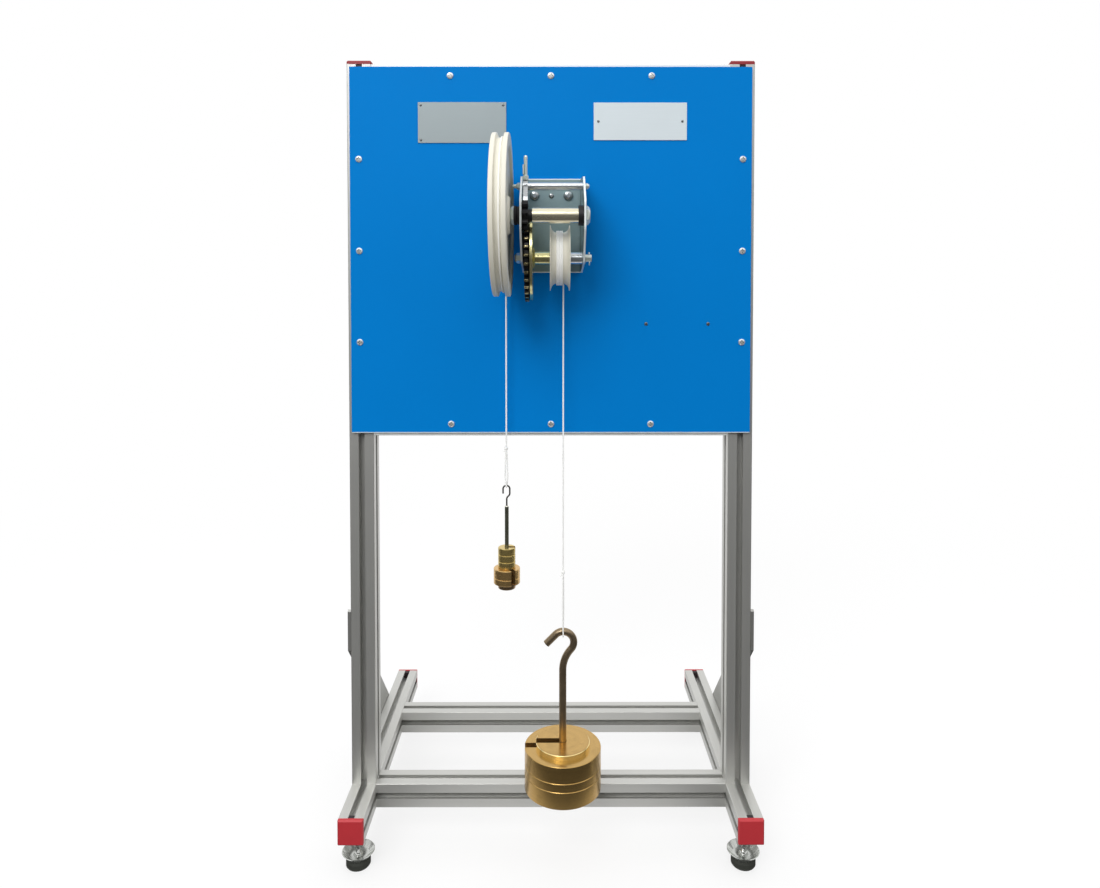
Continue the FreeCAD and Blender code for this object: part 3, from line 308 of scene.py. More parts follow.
class Finish(Nodes):
    """A procedural material: one Principled shader and the nodes that vary it."""

    def __init__(self, name, **sockets):
        self.material = bpy.data.materials.new(name)
        self.material.use_nodes = True
        super().__init__(self.material.node_tree)
        inputs = {socket.replace("_", " "): value for socket, value in sockets.items()}
        self.shader = self.node("ShaderNodeBsdfPrincipled", {}, inputs)
        self.surface = self.node("ShaderNodeOutputMaterial", {}, {0: self.shader}).inputs[0]

    def skin(self, socket, value):
        """Feeds a socket of the shader."""
        self.feed(self.shader.socket.node.inputs[socket], value)

    def base(self, value):
        self.skin("Base Color", value)

    def rough(self, value):
        self.skin("Roughness", value)

    def metal(self, value):
        self.skin("Metallic", value)

    def relief(self, height, strength, depth):
        self.skin("Normal", self.node("ShaderNodeBump", {}, {"Height": height, "Strength": strength,
                                                             "Distance": depth}))


def tint(rgba, factor):
    """The colour made lighter or darker."""
    return tuple(min(1.0, c * factor) for c in rgba[:3]) + (1.0,)


def anodised(name, rgba, axis, metallic=0.8):
    """Extruded aluminium with fine die lines along its length, a satin anodised skin and painted light in its
    slots and corners.
    """
    finish = Finish(name, Metallic=metallic, Specular_IOR_Level=0.5)
    across, lengthwise = 260.0, 0.35
    stretch = [lengthwise if k == axis else across for k in range(3)]
    where = finish.place()
    lines = finish.noise(finish.place(scale=stretch), scale=9.0, detail=2.0)
    cloud = finish.noise(where, scale=14.0)
    grain = finish.noise(where, scale=1900.0, detail=1.0)
    shade = finish.blend(lines, tint(rgba, 0.90), tint(rgba, 1.08))
    shade = finish.blend(cloud * 0.35, shade, tint(rgba, 0.86))
    # Painted light: deep in slots and corners the colour turns lighter, to lift their shade.
    finish.base(finish.blend(finish.crevice(12 * MM), tint(rgba, 1.15), shade))
    finish.rough(0.36 + 0.10 * lines + 0.08 * cloud)
    finish.relief(lines * 0.6 + grain * 0.4, strength=0.18, depth=0.12 * MM)
    return finish.material


def painted(name, rgba, bare, foot, edge):
    """Smooth paint with a faint orange peel, bare along the sheared edge at the panel's foot."""
    finish = Finish(name, Specular_IOR_Level=0.03)
    where = finish.place()
    cloud = finish.noise(where, scale=5.0, detail=4.0)
    coat = finish.blend(cloud, tint(rgba, 0.95), tint(rgba, 1.04))
    finish.base(finish.blend(finish.parts(where)[Z] < foot + edge, coat, bare))
    finish.rough(0.44 + 0.10 * cloud)
    finish.relief(finish.noise(where, scale=420.0, detail=2.0), strength=0.10, depth=0.2 * MM)
    return finish.material


def plated(name, rgba, metallic=0.8, rough=0.30, blotch=0.25, dark=0.35, reach=4 * MM):
    """Zinc plated steel with a slightly cloudy passivated skin and painted shade in its corners."""
    finish = Finish(name, Metallic=metallic)
    where = finish.place()
    cloud = finish.noise(where, scale=55.0, detail=5.0, roughness=0.6)
    grain = finish.noise(where, scale=900.0, detail=2.0)
    shade = finish.blend(cloud * blotch * 2, tint(rgba, 1.06), tint(rgba, 0.72))
    # Painted shade: within reach of corners and recesses, such as a screw's recess or the ground under a bolt
    # head, the colour falls to the dark tint.
    finish.base(finish.blend(finish.crevice(reach), tint(rgba, dark), shade))
    finish.rough(rough + 0.16 * cloud)
    finish.relief(grain * 0.5 + cloud * 0.5, strength=0.12, depth=0.1 * MM)
    return finish.material


def sheared(name, rgba, bright, low, high, sheet):
    """Zinc plated channel in a blue-green cast, with painted shade in its corners and the edges of its sheet
    painted bright: partly bare sheared metal, partly a painted highlight.
    """
    finish = Finish(name)
    where = finish.place(shift=(low + high) / 2)
    half = (high - low) / 2
    skin = 0.1 * MM
    end = 1.6 * MM
    across, back, up = finish.parts(where)
    # Partly painted highlight: the sheet's front cut edges and a band along its top and bottom take the
    # bright colour, for bare cut metal and for the light the edges catch.
    inside = (abs(across) > half.x - sheet + skin) * (abs(across) < half.x - skin)
    edge = inside * (back < half.y - 2 * sheet) + (abs(up) > half.z - end)
    cloud = finish.noise(where, scale=42.0, detail=5.0, roughness=0.6)
    grain = finish.noise(where, scale=900.0, detail=2.0)
    shade = finish.blend(cloud, rgba, tint(rgba, 0.70))
    # Painted shade: corners darken.
    shade = finish.blend(finish.crevice(5 * MM), tint(rgba, 0.35), shade)
    finish.base(finish.blend(edge, shade, bright))
    finish.metal(0.72 - 0.55 * edge)
    finish.rough(0.26 + 0.16 * cloud)
    finish.relief(grain * 0.5 + cloud * 0.5, strength=0.12, depth=0.1 * MM)
    return finish.material


def greased_teeth(name, rgba, olive, bright, centre, tip):
    """Gear blackened with grease whose tooth tips are rubbed to olive-brown metal."""
    finish = Finish(name)
    where = finish.place(shift=centre)
    cloud = finish.noise(where, scale=260.0, detail=4.0)
    rubbed = (finish.radius(where, X) + cloud * MM) > tip
    grease = finish.blend(cloud, tint(rgba, 0.5), tint(rgba, 1.5))
    finish.base(finish.blend(rubbed, grease, finish.blend(cloud, olive, bright)))
    finish.metal(0.3 + 0.65 * rubbed)
    finish.rough(0.36 - 0.18 * rubbed + 0.10 * cloud)
    finish.relief(cloud, strength=0.25, depth=0.1 * MM)
    return finish.material


def passivated(name, rgba, warm, centre):
    """Yellow passivated zinc whose skin drifts between straw and pink round the shaft."""
    finish = Finish(name, Metallic=0.88)
    where = finish.place(shift=centre)
    cloud = finish.noise(where, scale=60.0)
    drift = finish.noise(where, scale=26.0, detail=2.0)
    straw = finish.blend(cloud, tint(rgba, 1.05), tint(rgba, 0.88))
    finish.base(finish.blend(cloud * 0.3, finish.blend(drift, warm, straw), tint(rgba, 0.92)))
    finish.rough(0.15 + 0.08 * cloud)
    finish.relief(finish.noise(where, scale=180.0, detail=2.0), strength=0.05, depth=0.1 * MM)
    return finish.material


def blackened(name, rgba, rough=0.42, metallic=0.35):
    """Blackened or greasy steel: dark, with a few rubbed places."""
    finish = Finish(name, Metallic=metallic)
    where = finish.place()
    cloud = finish.noise(where, scale=160.0, detail=4.0)
    rubbed = finish.noise(where, scale=60.0) > 0.62
    dark = finish.blend(cloud, tint(rgba, 0.7), tint(rgba, 1.5))
    finish.base(finish.blend(rubbed * 0.5, dark, tint(rgba, 4.0)))
    finish.rough(rough + 0.2 * cloud)
    finish.relief(cloud, strength=0.2, depth=0.1 * MM)
    return finish.material


def moulded(name, rgba, dark, low, high, plate):
    """Moulded caps with a fine grain. The tongues in the slots get a painted shade, and the top pair is
    painted darker, also a painted shade.
    """
    finish = Finish(name, Specular_IOR_Level=0.45)
    where = finish.place()
    grain = finish.noise(where, scale=2600.0, detail=2.0)
    cloud = finish.noise(where, scale=30.0)
    spot = finish.parts(where)
    # Painted shade: the top caps are darkened.
    top = spot[Z] > high.z - plate
    # Painted shade: all but the caps' outer plates, that is the tongues sunk in the slots, take the dark
    # colour.
    outer = (top + (spot[Y] < low.y + plate) + (spot[Y] > high.y - plate)) > 0.5
    skin = finish.blend(top, finish.blend(cloud, rgba, tint(rgba, 1.22)), tint(rgba, 0.62))
    finish.base(finish.blend(outer, dark, skin))
    finish.rough(0.40 + 0.18 * grain)
    finish.relief(grain, strength=0.25, depth=0.08 * MM)
    return finish.material


def turned(name, rgba, axis, centre, metallic, rough, light, dark, grain, ring, wear=0.0,
           painted_glint=None):
    """Lathe-turned stock: fine rings round an axis, with soft cloudy handling marks, and a painted highlight
    band where one is given.
    """
    finish = Finish(name, Metallic=metallic)
    where = finish.place(shift=centre)
    along = finish.parts(where)[axis]
    away = finish.radius(where, axis)
    # Grows along round sides and across flat faces alike, so that both get rings
    track = away + along * 1.37
    rings = finish.line_noise(track, ring, detail=2.0)
    bands = finish.line_noise(track, ring * 0.09, detail=3.0)
    cloud = finish.noise(where, scale=34.0, detail=4.0, roughness=0.6)
    shade = finish.blend(rings * 0.5 + bands * 0.5, tint(rgba, dark), tint(rgba, light))
    if wear:
        shade = finish.blend((cloud > 0.56) * wear, shade, tint(rgba, dark * 0.72))
    # Painted highlight: a band in the bright glint colour.
    if painted_glint:
        low, high, least, glint = painted_glint
        band = (along > low) * (along < high) * (away > least)
        shade = finish.blend(band, shade, glint)
    finish.base(shade)
    finish.rough(rough + 0.06 * rings + 0.12 * cloud)
    finish.relief(rings * 0.7 + bands * 0.3, strength=grain, depth=0.05 * MM)
    return finish.material


def aged_rod(name, rgba, bright, fade, clear, drift):
    """Drawn rod darkened by handling, still bright where a height passes from fade to clear."""
    finish = Finish(name, Metallic=0.9)
    where = finish.place()
    cloud = finish.noise(where, scale=60.0, detail=4.0)
    stain = finish.noise(where, scale=24.0, detail=2.0)
    old = finish.blend(cloud, tint(rgba, 0.7), tint(rgba, 1.25))
    height = finish.parts(where)[Z] + (stain - 0.5) * drift
    finish.base(finish.blend(finish.rise(height, fade, clear, first=0.0, last=1.0), old, bright))
    finish.rough(0.29 + 0.12 * cloud)
    finish.relief(cloud, strength=0.02, depth=0.1 * MM)
    return finish.material


def brushed(name, rgba, metallic):
    """Thin plate brushed along its length."""
    finish = Finish(name, Metallic=metallic)
    strokes = finish.noise(finish.place(scale=(8.0, 1.0, 900.0)), scale=3.0)
    cloud = finish.noise(finish.place(), scale=18.0, detail=2.0)
    finish.base(finish.blend(strokes * 0.6 + cloud * 0.4, tint(rgba, 0.92), tint(rgba, 1.06)))
    finish.rough(0.38 + 0.14 * strokes)
    finish.relief(strokes, strength=0.12, depth=0.08 * MM)
    return finish.material


def braided(name, white, shade):
    """Soft spun fibre, mottled with a second colour."""
    finish = Finish(name, Roughness=0.8, Sheen_Weight=0.4)
    fibre = finish.noise(finish.place(), scale=5200.0, detail=2.0)
    finish.base(finish.blend(fibre, shade, white))
    finish.relief(fibre, strength=0.1, depth=0.06 * MM)
    return finish.material


def rubbery(name, rgba):
    """Matt rubber, a little dusty."""
    finish = Finish(name, Specular_IOR_Level=0.3)
    where = finish.place()
    dust = finish.noise(where, scale=120.0, detail=4.0)
    grain = finish.noise(where, scale=1800.0, detail=2.0)
    finish.base(finish.blend(dust * 0.5, rgba, tint(rgba, 2.2)))
    finish.rough(0.62 + 0.2 * grain)
    finish.relief(grain, strength=0.3, depth=0.1 * MM)
    return finish.material


# Shapes

def piece(name, shape, material, body=None, stands_for=(), sharp=30.0):
    """Makes an object of a bmesh, in place, and hangs it on its body."""
    mesh = bpy.data.meshes.new(name)
    shape.to_mesh(mesh)
    shape.free()
    mesh.polygons.foreach_set("use_smooth", [True] * len(mesh.polygons))
    mesh.set_sharp_from_angle(angle=math.radians(sharp))
    mesh.materials.append(material)
    made = bpy.data.objects.new(name, mesh)
    bpy.context.scene.collection.objects.link(made)
    if body:
        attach(made, body)
    if stands_for:
        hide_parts(*stands_for)
    return made


def clad(material, *nodes):
    """Gives CAD nodes their finish."""
    for node in nodes:
        mesh = NODES[node].data
        mesh.materials.clear()
        mesh.materials.append(material)


def merged(node):
    """Copy of a CAD node's mesh with its seams closed and its flat faces whole."""
    shape = bmesh.new()
    shape.from_mesh(NODES[node].data)
    shape.transform(NODES[node].matrix_world)
    bmesh.ops.remove_doubles(shape, verts=shape.verts, dist=WELD)
    bmesh.ops.dissolve_limit(shape, angle_limit=math.radians(0.5), verts=shape.verts, edges=shape.edges)
    return shape


def ring_solid(points, centre, steps):
    """Solid of revolution round X, from a closed outline of places along it and radii."""
    shape = bmesh.new()
    line = [shape.verts.new(centre + Vector((along, radius, 0.0))) for along, radius in points]
    edges = [shape.edges.new(pair) for pair in zip(line, line[1:] + line[:1])]
    bmesh.ops.spin(shape, geom=line + edges, cent=centre, axis=Vector((1.0, 0.0, 0.0)), angle=math.tau,
                   steps=steps, use_merge=True, use_duplicate=False)
    bmesh.ops.remove_doubles(shape, verts=shape.verts, dist=WELD / 10)
    bmesh.ops.recalc_face_normals(shape, faces=shape.faces)
    return shape


def soften(shape, width, angle, chosen=None):
    """Rounds the edges that turn more than an angle, of all edges or of the chosen ones."""
    limit = math.radians(angle)
    edges = [e for e in chosen or shape.edges if len(e.link_faces) == 2 and e.calc_face_angle(0.0) > limit]
    bmesh.ops.bevel(shape, geom=edges, offset=width, offset_type="OFFSET", segments=2, profile=0.5,
                    affect="EDGES", material=-1, clamp_overlap=True)
    return shape


def read_route(points):
    """Points along the smooth spline that a cord's route points steer."""
    curve = bpy.data.curves.new("route", "CURVE")
    curve.dimensions = "3D"
    spline = curve.splines.new("NURBS")
    spline.points.add(len(points) - 1)
    for point, place in zip(spline.points, points):
        point.co = (*place, 1.0)
    spline.order_u = 3
    spline.use_endpoint_u = True
    spline.resolution_u = 24
    holder = bpy.data.objects.new("route", curve)
    mesh = bpy.data.meshes.new_from_object(holder)
    line = [v.co.copy() for v in mesh.vertices]
    bpy.data.meshes.remove(mesh)
    bpy.data.curves.remove(curve)
    return line


def evenly(line, step):
    """The line again with its points a step apart."""
    along = [0.0]
    for a, b in zip(line, line[1:]):
        along.append(along[-1] + (b - a).length)
    count = max(2, round(along[-1] / step))
    places, k = [], 0
    for n in range(count + 1):
        at = along[-1] * n / count
        while k < len(line) - 2 and along[k + 1] < at:
            k += 1
        part = (at - along[k]) / max(along[k + 1] - along[k], 1e-12)
        places.append(line[k].lerp(line[k + 1], min(1.0, part)))
    return places


def total(line):
    """Length of a line."""
    return sum((b - a).length for a, b in zip(line, line[1:]))


def braid(line, radius, cord, closed=False):
    """Braided cord along a line: a grid rolled into a tube whose yarns cross in both directions."""
    last = len(line) - 1
    shape = bmesh.new()
    bmesh.ops.create_grid(shape, x_segments=cord.sides, y_segments=last, size=0.5)
    step = total(line) / last
    ways = []
    for k in range(last + 1):
        before, after = ((k - 1) % last, (k + 1) % last) if closed else (max(k - 1, 0), min(k + 1, last))
        ways.append((line[after] - line[before]).normalized())
    side = Vector((1, 0, 0)) if closed else ways[0].orthogonal().normalized()
    frames = []
    for way in ways:
        side = (side - way * side.dot(way)).normalized()
        frames.append((side.copy(), way.cross(side)))
    for vertex in shape.verts:
        row = round((vertex.co.y + 0.5) * last)
        angle = math.tau * (vertex.co.x + 0.5)
        turn = math.tau * row * step / cord.plait
        wave = max(math.cos(cord.yarns * angle + turn * 2), math.cos(cord.yarns * angle - turn * 2))
        out = radius - cord.relief * (1 - wave) / 2
        across, up = frames[row]
        vertex.co = line[row] + (across * math.cos(angle) + up * math.sin(angle)) * out
    bmesh.ops.remove_doubles(shape, verts=shape.verts, dist=2 * WELD)
    if not closed:
        bmesh.ops.holes_fill(shape, edges=[e for e in shape.edges if e.is_boundary], sides=0)
    bmesh.ops.recalc_face_normals(shape, faces=shape.faces)
    return shape


def screw_thread(radius, depth, pitch, low, high, centre):
    """Thread along Z from low to high: one pitch of flank spun up a helix and cut off square."""
    shape = bmesh.new()
    up = Vector((0.0, 0.0, 1.0))
    steps = 20
    turns = math.ceil((high - low) / pitch) + 2
    outline = [(0.0, radius - depth), (0.42, radius), (0.58, radius), (1.0, radius - depth)]
    line = [shape.verts.new(centre + Vector((out, 0.0, low - pitch * (1 - part)))) for part, out in outline]
    edges = [shape.edges.new(pair) for pair in zip(line, line[1:])]
    bmesh.ops.spin(shape, geom=line + edges, cent=centre, axis=up, dvec=up * pitch / steps,
                   angle=math.tau * turns, steps=steps * turns, use_merge=False, use_duplicate=False)
    bmesh.ops.remove_doubles(shape, verts=shape.verts, dist=WELD)
    for place, facing in ((low, -1), (high, 1)):
        geom = shape.verts[:] + shape.edges[:] + shape.faces[:]
        bmesh.ops.bisect_plane(shape, geom=geom, plane_co=centre + up * place, plane_no=up * facing,
                               clear_outer=True)
        rim = [e for e in shape.edges if e.is_boundary
               and all(abs(v.co.z - centre.z - place) < WELD for v in e.verts)]
        bmesh.ops.edgeloop_fill(shape, edges=rim)
    bmesh.ops.recalc_face_normals(shape, faces=shape.faces)
    return shape


# Operators

class WINCH_OT_camera(bpy.types.Operator):
    """Sets up the camera in front of the panel"""
    bl_idname = "winch.camera"
    bl_label = "Camera"

    def execute(self, context):
        view = context.scene.winch_unit.view
        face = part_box("front_panel")[0].y
        data = bpy.data.cameras.new("view")
        data.sensor_width = 36.0
        data.lens = view.lens
        data.shift_x = view.shift_x
        data.shift_y = view.shift_y
        camera = bpy.data.objects.new("view", data)
        camera.location = (view.aside, face - view.distance, view.height)
        camera.rotation_euler = Euler((math.pi / 2 - view.tilt, 0.0, -view.turn))
        context.scene.collection.objects.link(camera)
        context.scene.camera = camera
        return {"FINISHED"}


class WINCH_OT_cords(bpy.types.Operator):
    """Builds the two braided cords, their loops, knots and the turns in the grooves"""
    bl_idname = "winch.cords"
    bl_label = "Cords"

    def execute(self, context):
        self.cord = context.scene.winch_unit.cord
        self.material = braided("cord", self.cord.white, self.cord.shade)
        self.hung("effort", "input", wire=1.3 * MM, twist=math.radians(62.0), beside=0)
        self.hung("load", "drum", wire=5.8 * MM, twist=math.radians(8.0), beside=3)
        return {"FINISHED"}

    def hung(self, side, turning, wire, twist, beside):
        """One cord from the groove to its hook, with what belongs to it."""
        low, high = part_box(side + "_cord")
        x, y = (low.x + high.x) / 2, (low.y + high.y) / 2
        radius = self.cord.diameter / 2
        loop_radius = 0.86 * radius
        string, line = self.string(side, x, y, high.z, low.z, radius)
        eye, ring = self.loop(side, x, y, low.z, radius, loop_radius, wire, twist)
        knot = self.knot(side, x, y)
        (line[0] - line[-1]).length
        total(ring)
        self.windings(side, turning, radius, beside)

    def strand(self, name, line, radius, body, stands_for=(), closed=False):
        """A braided piece, smooth over its yarns."""
        shape = braid(line, radius, self.cord, closed)
        return piece(name, shape, self.material, body, stands_for, sharp=80.0)

    def string(self, side, x, y, top, knot, radius):
        """The hanging cord between the stand and the knot."""
        height = top - knot
        points = [(x, y, top), (x, y, top - 0.05 * height), (x, y, top - 0.3 * height),
                  (x, y, top - 0.65 * height), (x, y, knot + 0.05 * height), (x, y, knot)]
        line = evenly(read_route(points), 0.5 * MM)
        string = self.strand(side + "_string", line, radius, None, (side + "_cord",))
        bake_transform(string)
        return string, line

    def loop(self, side, x, y, knot, radius, loop_radius, wire, twist):
        """The loop from the knot round the hook and back, whose strands part as the loop is twisted."""
        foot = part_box(side + "_loop")[0].z + radius
        bend = wire + radius + 0.1 * MM
        aside, back = bend * math.sin(twist), bend * math.cos(twist)
        parting, part = knot - 6 * MM, 0.35
        wide, near = foot + 5.0 * bend, foot + bend
        points = [(x, y, knot), (x - part * aside, y - part * back, parting), (x - aside, y - back, wide),
                  (x, y - bend, near), (x, y - bend, foot), (x, y + bend, foot), (x, y + bend, near),
                  (x + aside, y + back, wide), (x + part * aside, y + part * back, parting), (x, y, knot)]
        ring = evenly(read_route(points), 0.4 * MM)
        return self.strand(side + "_eye", ring, loop_radius, side + "_line", (side + "_loop",)), ring

    def knot(self, side, x, y):
        """The knot above the loop: wraps of cord and a short tail."""
        turns, in_turn, wide, tall = 2.4, 8, 2.05 * MM, 4.4 * MM
        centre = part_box(side + "_loop")[1].z - 2.3 * MM
        tail = [(x - 3.4 * MM, y - 2.4 * MM, centre - 3.0 * MM),
                (x - 4.6 * MM, y - 2.8 * MM, centre - 6.0 * MM)]
        coil = []
        for k in range(int(turns * in_turn) + 1):
            angle = math.tau * k / in_turn
            coil.append((x + wide * math.cos(angle), y + wide * math.sin(angle),
                         centre + tall / 2 - k / (turns * in_turn) * tall))
        line = evenly(read_route(coil + tail), 0.3 * MM)
        return self.strand(side + "_knot", line, 0.95 * MM, side + "_line")

    def windings(self, side, turning, radius, beside):
        """The turn of cord in the groove and the turns laid beside it."""
        turn_node = side + "_cord_turn"
        centre = middle(turn_node)
        around = wheel_size(turn_node)[1] - radius
        count = round(math.tau * around / (0.5 * MM))
        angles = [math.tau * k / count for k in range(count + 1)]
        circle = [Vector((0, math.sin(angle), math.cos(angle))) * around for angle in angles]
        for turn in range(beside + 1):
            start = centre - Vector((turn * self.cord.diameter, 0, 0))
            name = f"{side}_turn_{turn}" if turn else side + "_winding"
            self.strand(name, [start + spot for spot in circle], radius, turning,
                        () if turn else (turn_node,), closed=True)


class WINCH_OT_frame(bpy.types.Operator):
    """Finishes the stand's profiles, caps, braces and feet"""
    bl_idname = "winch.frame"
    bl_label = "Stand"

    def execute(self, context):
        colours = context.scene.winch_unit.colours
        rgba = colours.aluminium
        clad(anodised("profile_x", rgba, X), "cross_rail_front", "cross_rail_rear")
        clad(anodised("profile_y", rgba, Y), "side_rail_left", "side_rail_right")
        clad(anodised("profile_z", rgba, Z), "upright_left", "upright_right")
        # Painted light: the rails behind the panel get a lighter, less metallic copy of the aluminium finish,
        # so that their strip below the panel shows bright in its shade.
        clad(anodised("panel_profile", colours.rail, X, metallic=0.1), "panel_rails")
        clad(anodised("brace_plate", tint(rgba, 0.72), Z), "braces")
        clad(moulded("cap_plastic", colours.red, colours.tongue, *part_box("end_caps"), plate=6.02 * MM),
             "end_caps")
        # The near black tint here is painted shade in the recesses of the screws and nuts.
        clad(plated("screw_steel", colours.screws, metallic=0.6, rough=0.12, blotch=0.1, dark=0.02,
                    reach=2.4 * MM), "frame_screws", "panel_screws", "foot_nuts")
        clad(plated("small_screw_steel", tint(colours.zinc, 0.55), metallic=0.9, rough=0.25, blotch=0.1,
                    dark=0.06), "small_screws")
        rubber = rubbery("foot_rubber", colours.rubber)
        for place in ("front_left", "front_right", "rear_left", "rear_right"):
            self.leveller(place, plated("dish_" + place, colours.dishes, metallic=0.95, rough=0.15,
                                        blotch=0.1, dark=0.3))
            clad(rubber, "foot_pad_" + place)
        return {"FINISHED"}

    def leveller(self, place, material):
        """A levelling foot whose stud, thinned below its thread's root, carries a real thread."""
        node = "foot_" + place
        low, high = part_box(node)
        centre = middle(node)
        centre.z = 0.0
        stud, depth, pitch = 4.0 * MM, 0.55 * MM, 1.25 * MM
        slack, below = 0.02 * MM, 0.05 * MM
        dish_floor = low.z + 2 * MM
        start, end = low.z + 13 * MM, high.z - 1.0 * MM
        shape = merged(node)
        for vertex in shape.verts:
            away = Vector((vertex.co.x - centre.x, vertex.co.y - centre.y, 0.0))
            if away.length < stud + slack and vertex.co.z > dish_floor:
                vertex.co = vertex.co - away.normalized() * min(away.length, depth + below)
        thread = screw_thread(stud, depth, pitch, start, end, centre)
        mesh = bpy.data.meshes.new("thread")
        thread.to_mesh(mesh)
        thread.free()
        shape.from_mesh(mesh)
        bpy.data.meshes.remove(mesh)
        piece("leveller_" + place, shape, material, node, (node,), sharp=35.0)


class WINCH_OT_panel(bpy.types.Operator):
    """Finishes the blue panel and its two bare plates"""
    bl_idname = "winch.panel"
    bl_label = "Panel"

    def execute(self, context):
        colours = context.scene.winch_unit.colours
        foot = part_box("front_panel")[0].z
        clad(painted("panel_paint", colours.panel, colours.panel_edge, foot, edge=1.1 * MM), "front_panel")
        clad(brushed("plate_silver", colours.plate_left, metallic=0.45), "nameplate_left")
        clad(brushed("plate_white", colours.plate_right, metallic=0.0), "nameplate_right")
        return {"FINISHED"}


class WINCH_OT_winch(bpy.types.Operator):
    """Finishes the winch's frame, shafts, gears and pawl"""
    bl_idname = "winch.winch"
    bl_label = "Winch"

    def execute(self, context):
        colours = context.scene.winch_unit.colours
        clad(sheared("frame_zinc", colours.channel, colours.channel_edge_and_highlight, *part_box("winch_frame"),
                     sheet=3.0 * MM), "winch_frame")
        clad(plated("bright_zinc", tint(colours.zinc, 1.6), metallic=0.82, rough=0.12, blotch=0.1, dark=0.2),
             "tie_bar", "pulley_spacer", "shaft_bushes")
        clad(plated("nut_zinc", colours.nuts, metallic=0.45, rough=0.16, blotch=0.2, dark=0.2),
             "axle_fasteners", "crank_nut", "hub_nuts", "drum_axle", "pawl_lever")
        clad(plated("pawl_zinc", tint(colours.zinc, 1.1), metallic=0.85, rough=0.22, blotch=0.4, dark=0.1),
             "pawl")
        # Painted shade: the dark tint reaches 8 mm round the bolt heads.
        clad(plated("bolt_zinc", tint(colours.zinc, 1.2), metallic=0.85, rough=0.16, blotch=0.9, dark=0.08,
                    reach=8 * MM), "winch_mount_bolts")
        crank, drum = middle("crank_shaft"), middle("drum_gear")
        for node, rgba, centre in (("crank_sleeve", colours.pale, crank),
                                   ("drum_flange", colours.yellow, drum),
                                   ("drum_sleeve", colours.yellow, drum)):
            clad(passivated(node + "_zinc", rgba, colours.warm, centre), node)
        for node in ("crank_collar", "brake_discs", "crank_shaft"):
            clad(blackened(node + "_black", colours.black), node)
        self.gear(colours, drum)
        clad(blackened("pinion_grease", colours.black, rough=0.35, metallic=0.6), "pinion")
        return {"FINISHED"}

    def gear(self, colours, centre):
        """The large gear with the edges of its teeth rounded over."""
        tip = wheel_size("drum_gear")[1]
        shape = merged("drum_gear")

        def at_tip(vertex):
            return (vertex.co - centre).yz.length > tip - 0.06 * MM

        rim = [e for e in shape.edges if all(at_tip(v) for v in e.verts)]
        soften(shape, width=0.5 * MM, angle=25.0, chosen=rim)
        grease = greased_teeth("gear_grease", colours.black, colours.olive, colours.rubbed, centre,
                               tip - 0.25 * MM)
        piece("gear", shape, grease, "drum", ("drum_gear",), sharp=40.0)


class WINCH_OT_wheel(bpy.types.Operator):
    """Builds the large wheel and the small pulley of turned white nylon"""
    bl_idname = "winch.wheel"
    bl_label = "Wheel and pulley"

    def execute(self, context):
        rgba = context.scene.winch_unit.colours.nylon
        self.wheel(rgba)
        self.pulley(rgba)
        return {"FINISHED"}

    def wheel(self, rgba):
        """The large wheel: a groove between two lands, a recessed web and a hub."""
        half, rim = wheel_size("input_wheel")
        groove_floor, groove_mouth, groove_depth = 4.4 * MM, 5.9 * MM, 7.4 * MM
        corner, land, hub, bore = 0.6 * MM, 18.0 * MM, 26.0 * MM, 9.03 * MM
        recess, slope = 4.0 * MM, 3.0 * MM
        side = [(groove_floor, rim - groove_depth), (groove_mouth - 0.4 * MM, rim - 0.5 * MM),
                (groove_mouth, rim), (half - corner, rim), (half, rim - corner), (half, rim - land),
                (half - recess, rim - land - slope), (half - recess, hub + slope), (half, hub), (half, bore)]
        self.spun("wheel", "input", "input_wheel", side, rgba, steps=180, edge=0.2 * MM, angle=25.0,
                  rough=0.42, light=1.04, dark=0.94, grain=0.12, ring=900.0)

    def pulley(self, rgba):
        """The small pulley, whose flanges bow in from the rim to the groove's floor."""
        half, rim = wheel_size("load_pulley")
        floor, inside, flat, bore = rim - 10.6 * MM, half - 1.2 * MM, 7.2 * MM, 5.95 * MM
        steps, deepest = 8, 1.4 * MM
        side = [(flat, floor)]
        for k in range(1, steps):
            part = k / steps
            bow = deepest * math.sin(math.pi * part)
            side.append((flat + (inside - flat) * part + bow, floor + (rim - floor) * part - bow))
        side += [(inside, rim), (half, rim), (half, bore)]
        self.spun("pulley", "drum", "load_pulley", side, rgba, steps=128, edge=0.25 * MM, angle=35.0,
                  rough=0.40, light=1.05, dark=0.90, grain=0.3, ring=1100.0)

    def spun(self, name, body, node, side, rgba, steps, edge, angle, **look):
        """A turned wheel, the same on its left as the side that is given."""
        centre = middle(node)
        outline = side + [(-along, radius) for along, radius in reversed(side)]
        shape = soften(ring_solid(outline, centre, steps), edge, angle)
        material = turned(name + "_nylon", rgba, X, centre, metallic=0.0, **look)
        piece(name, shape, material, body, (node,))


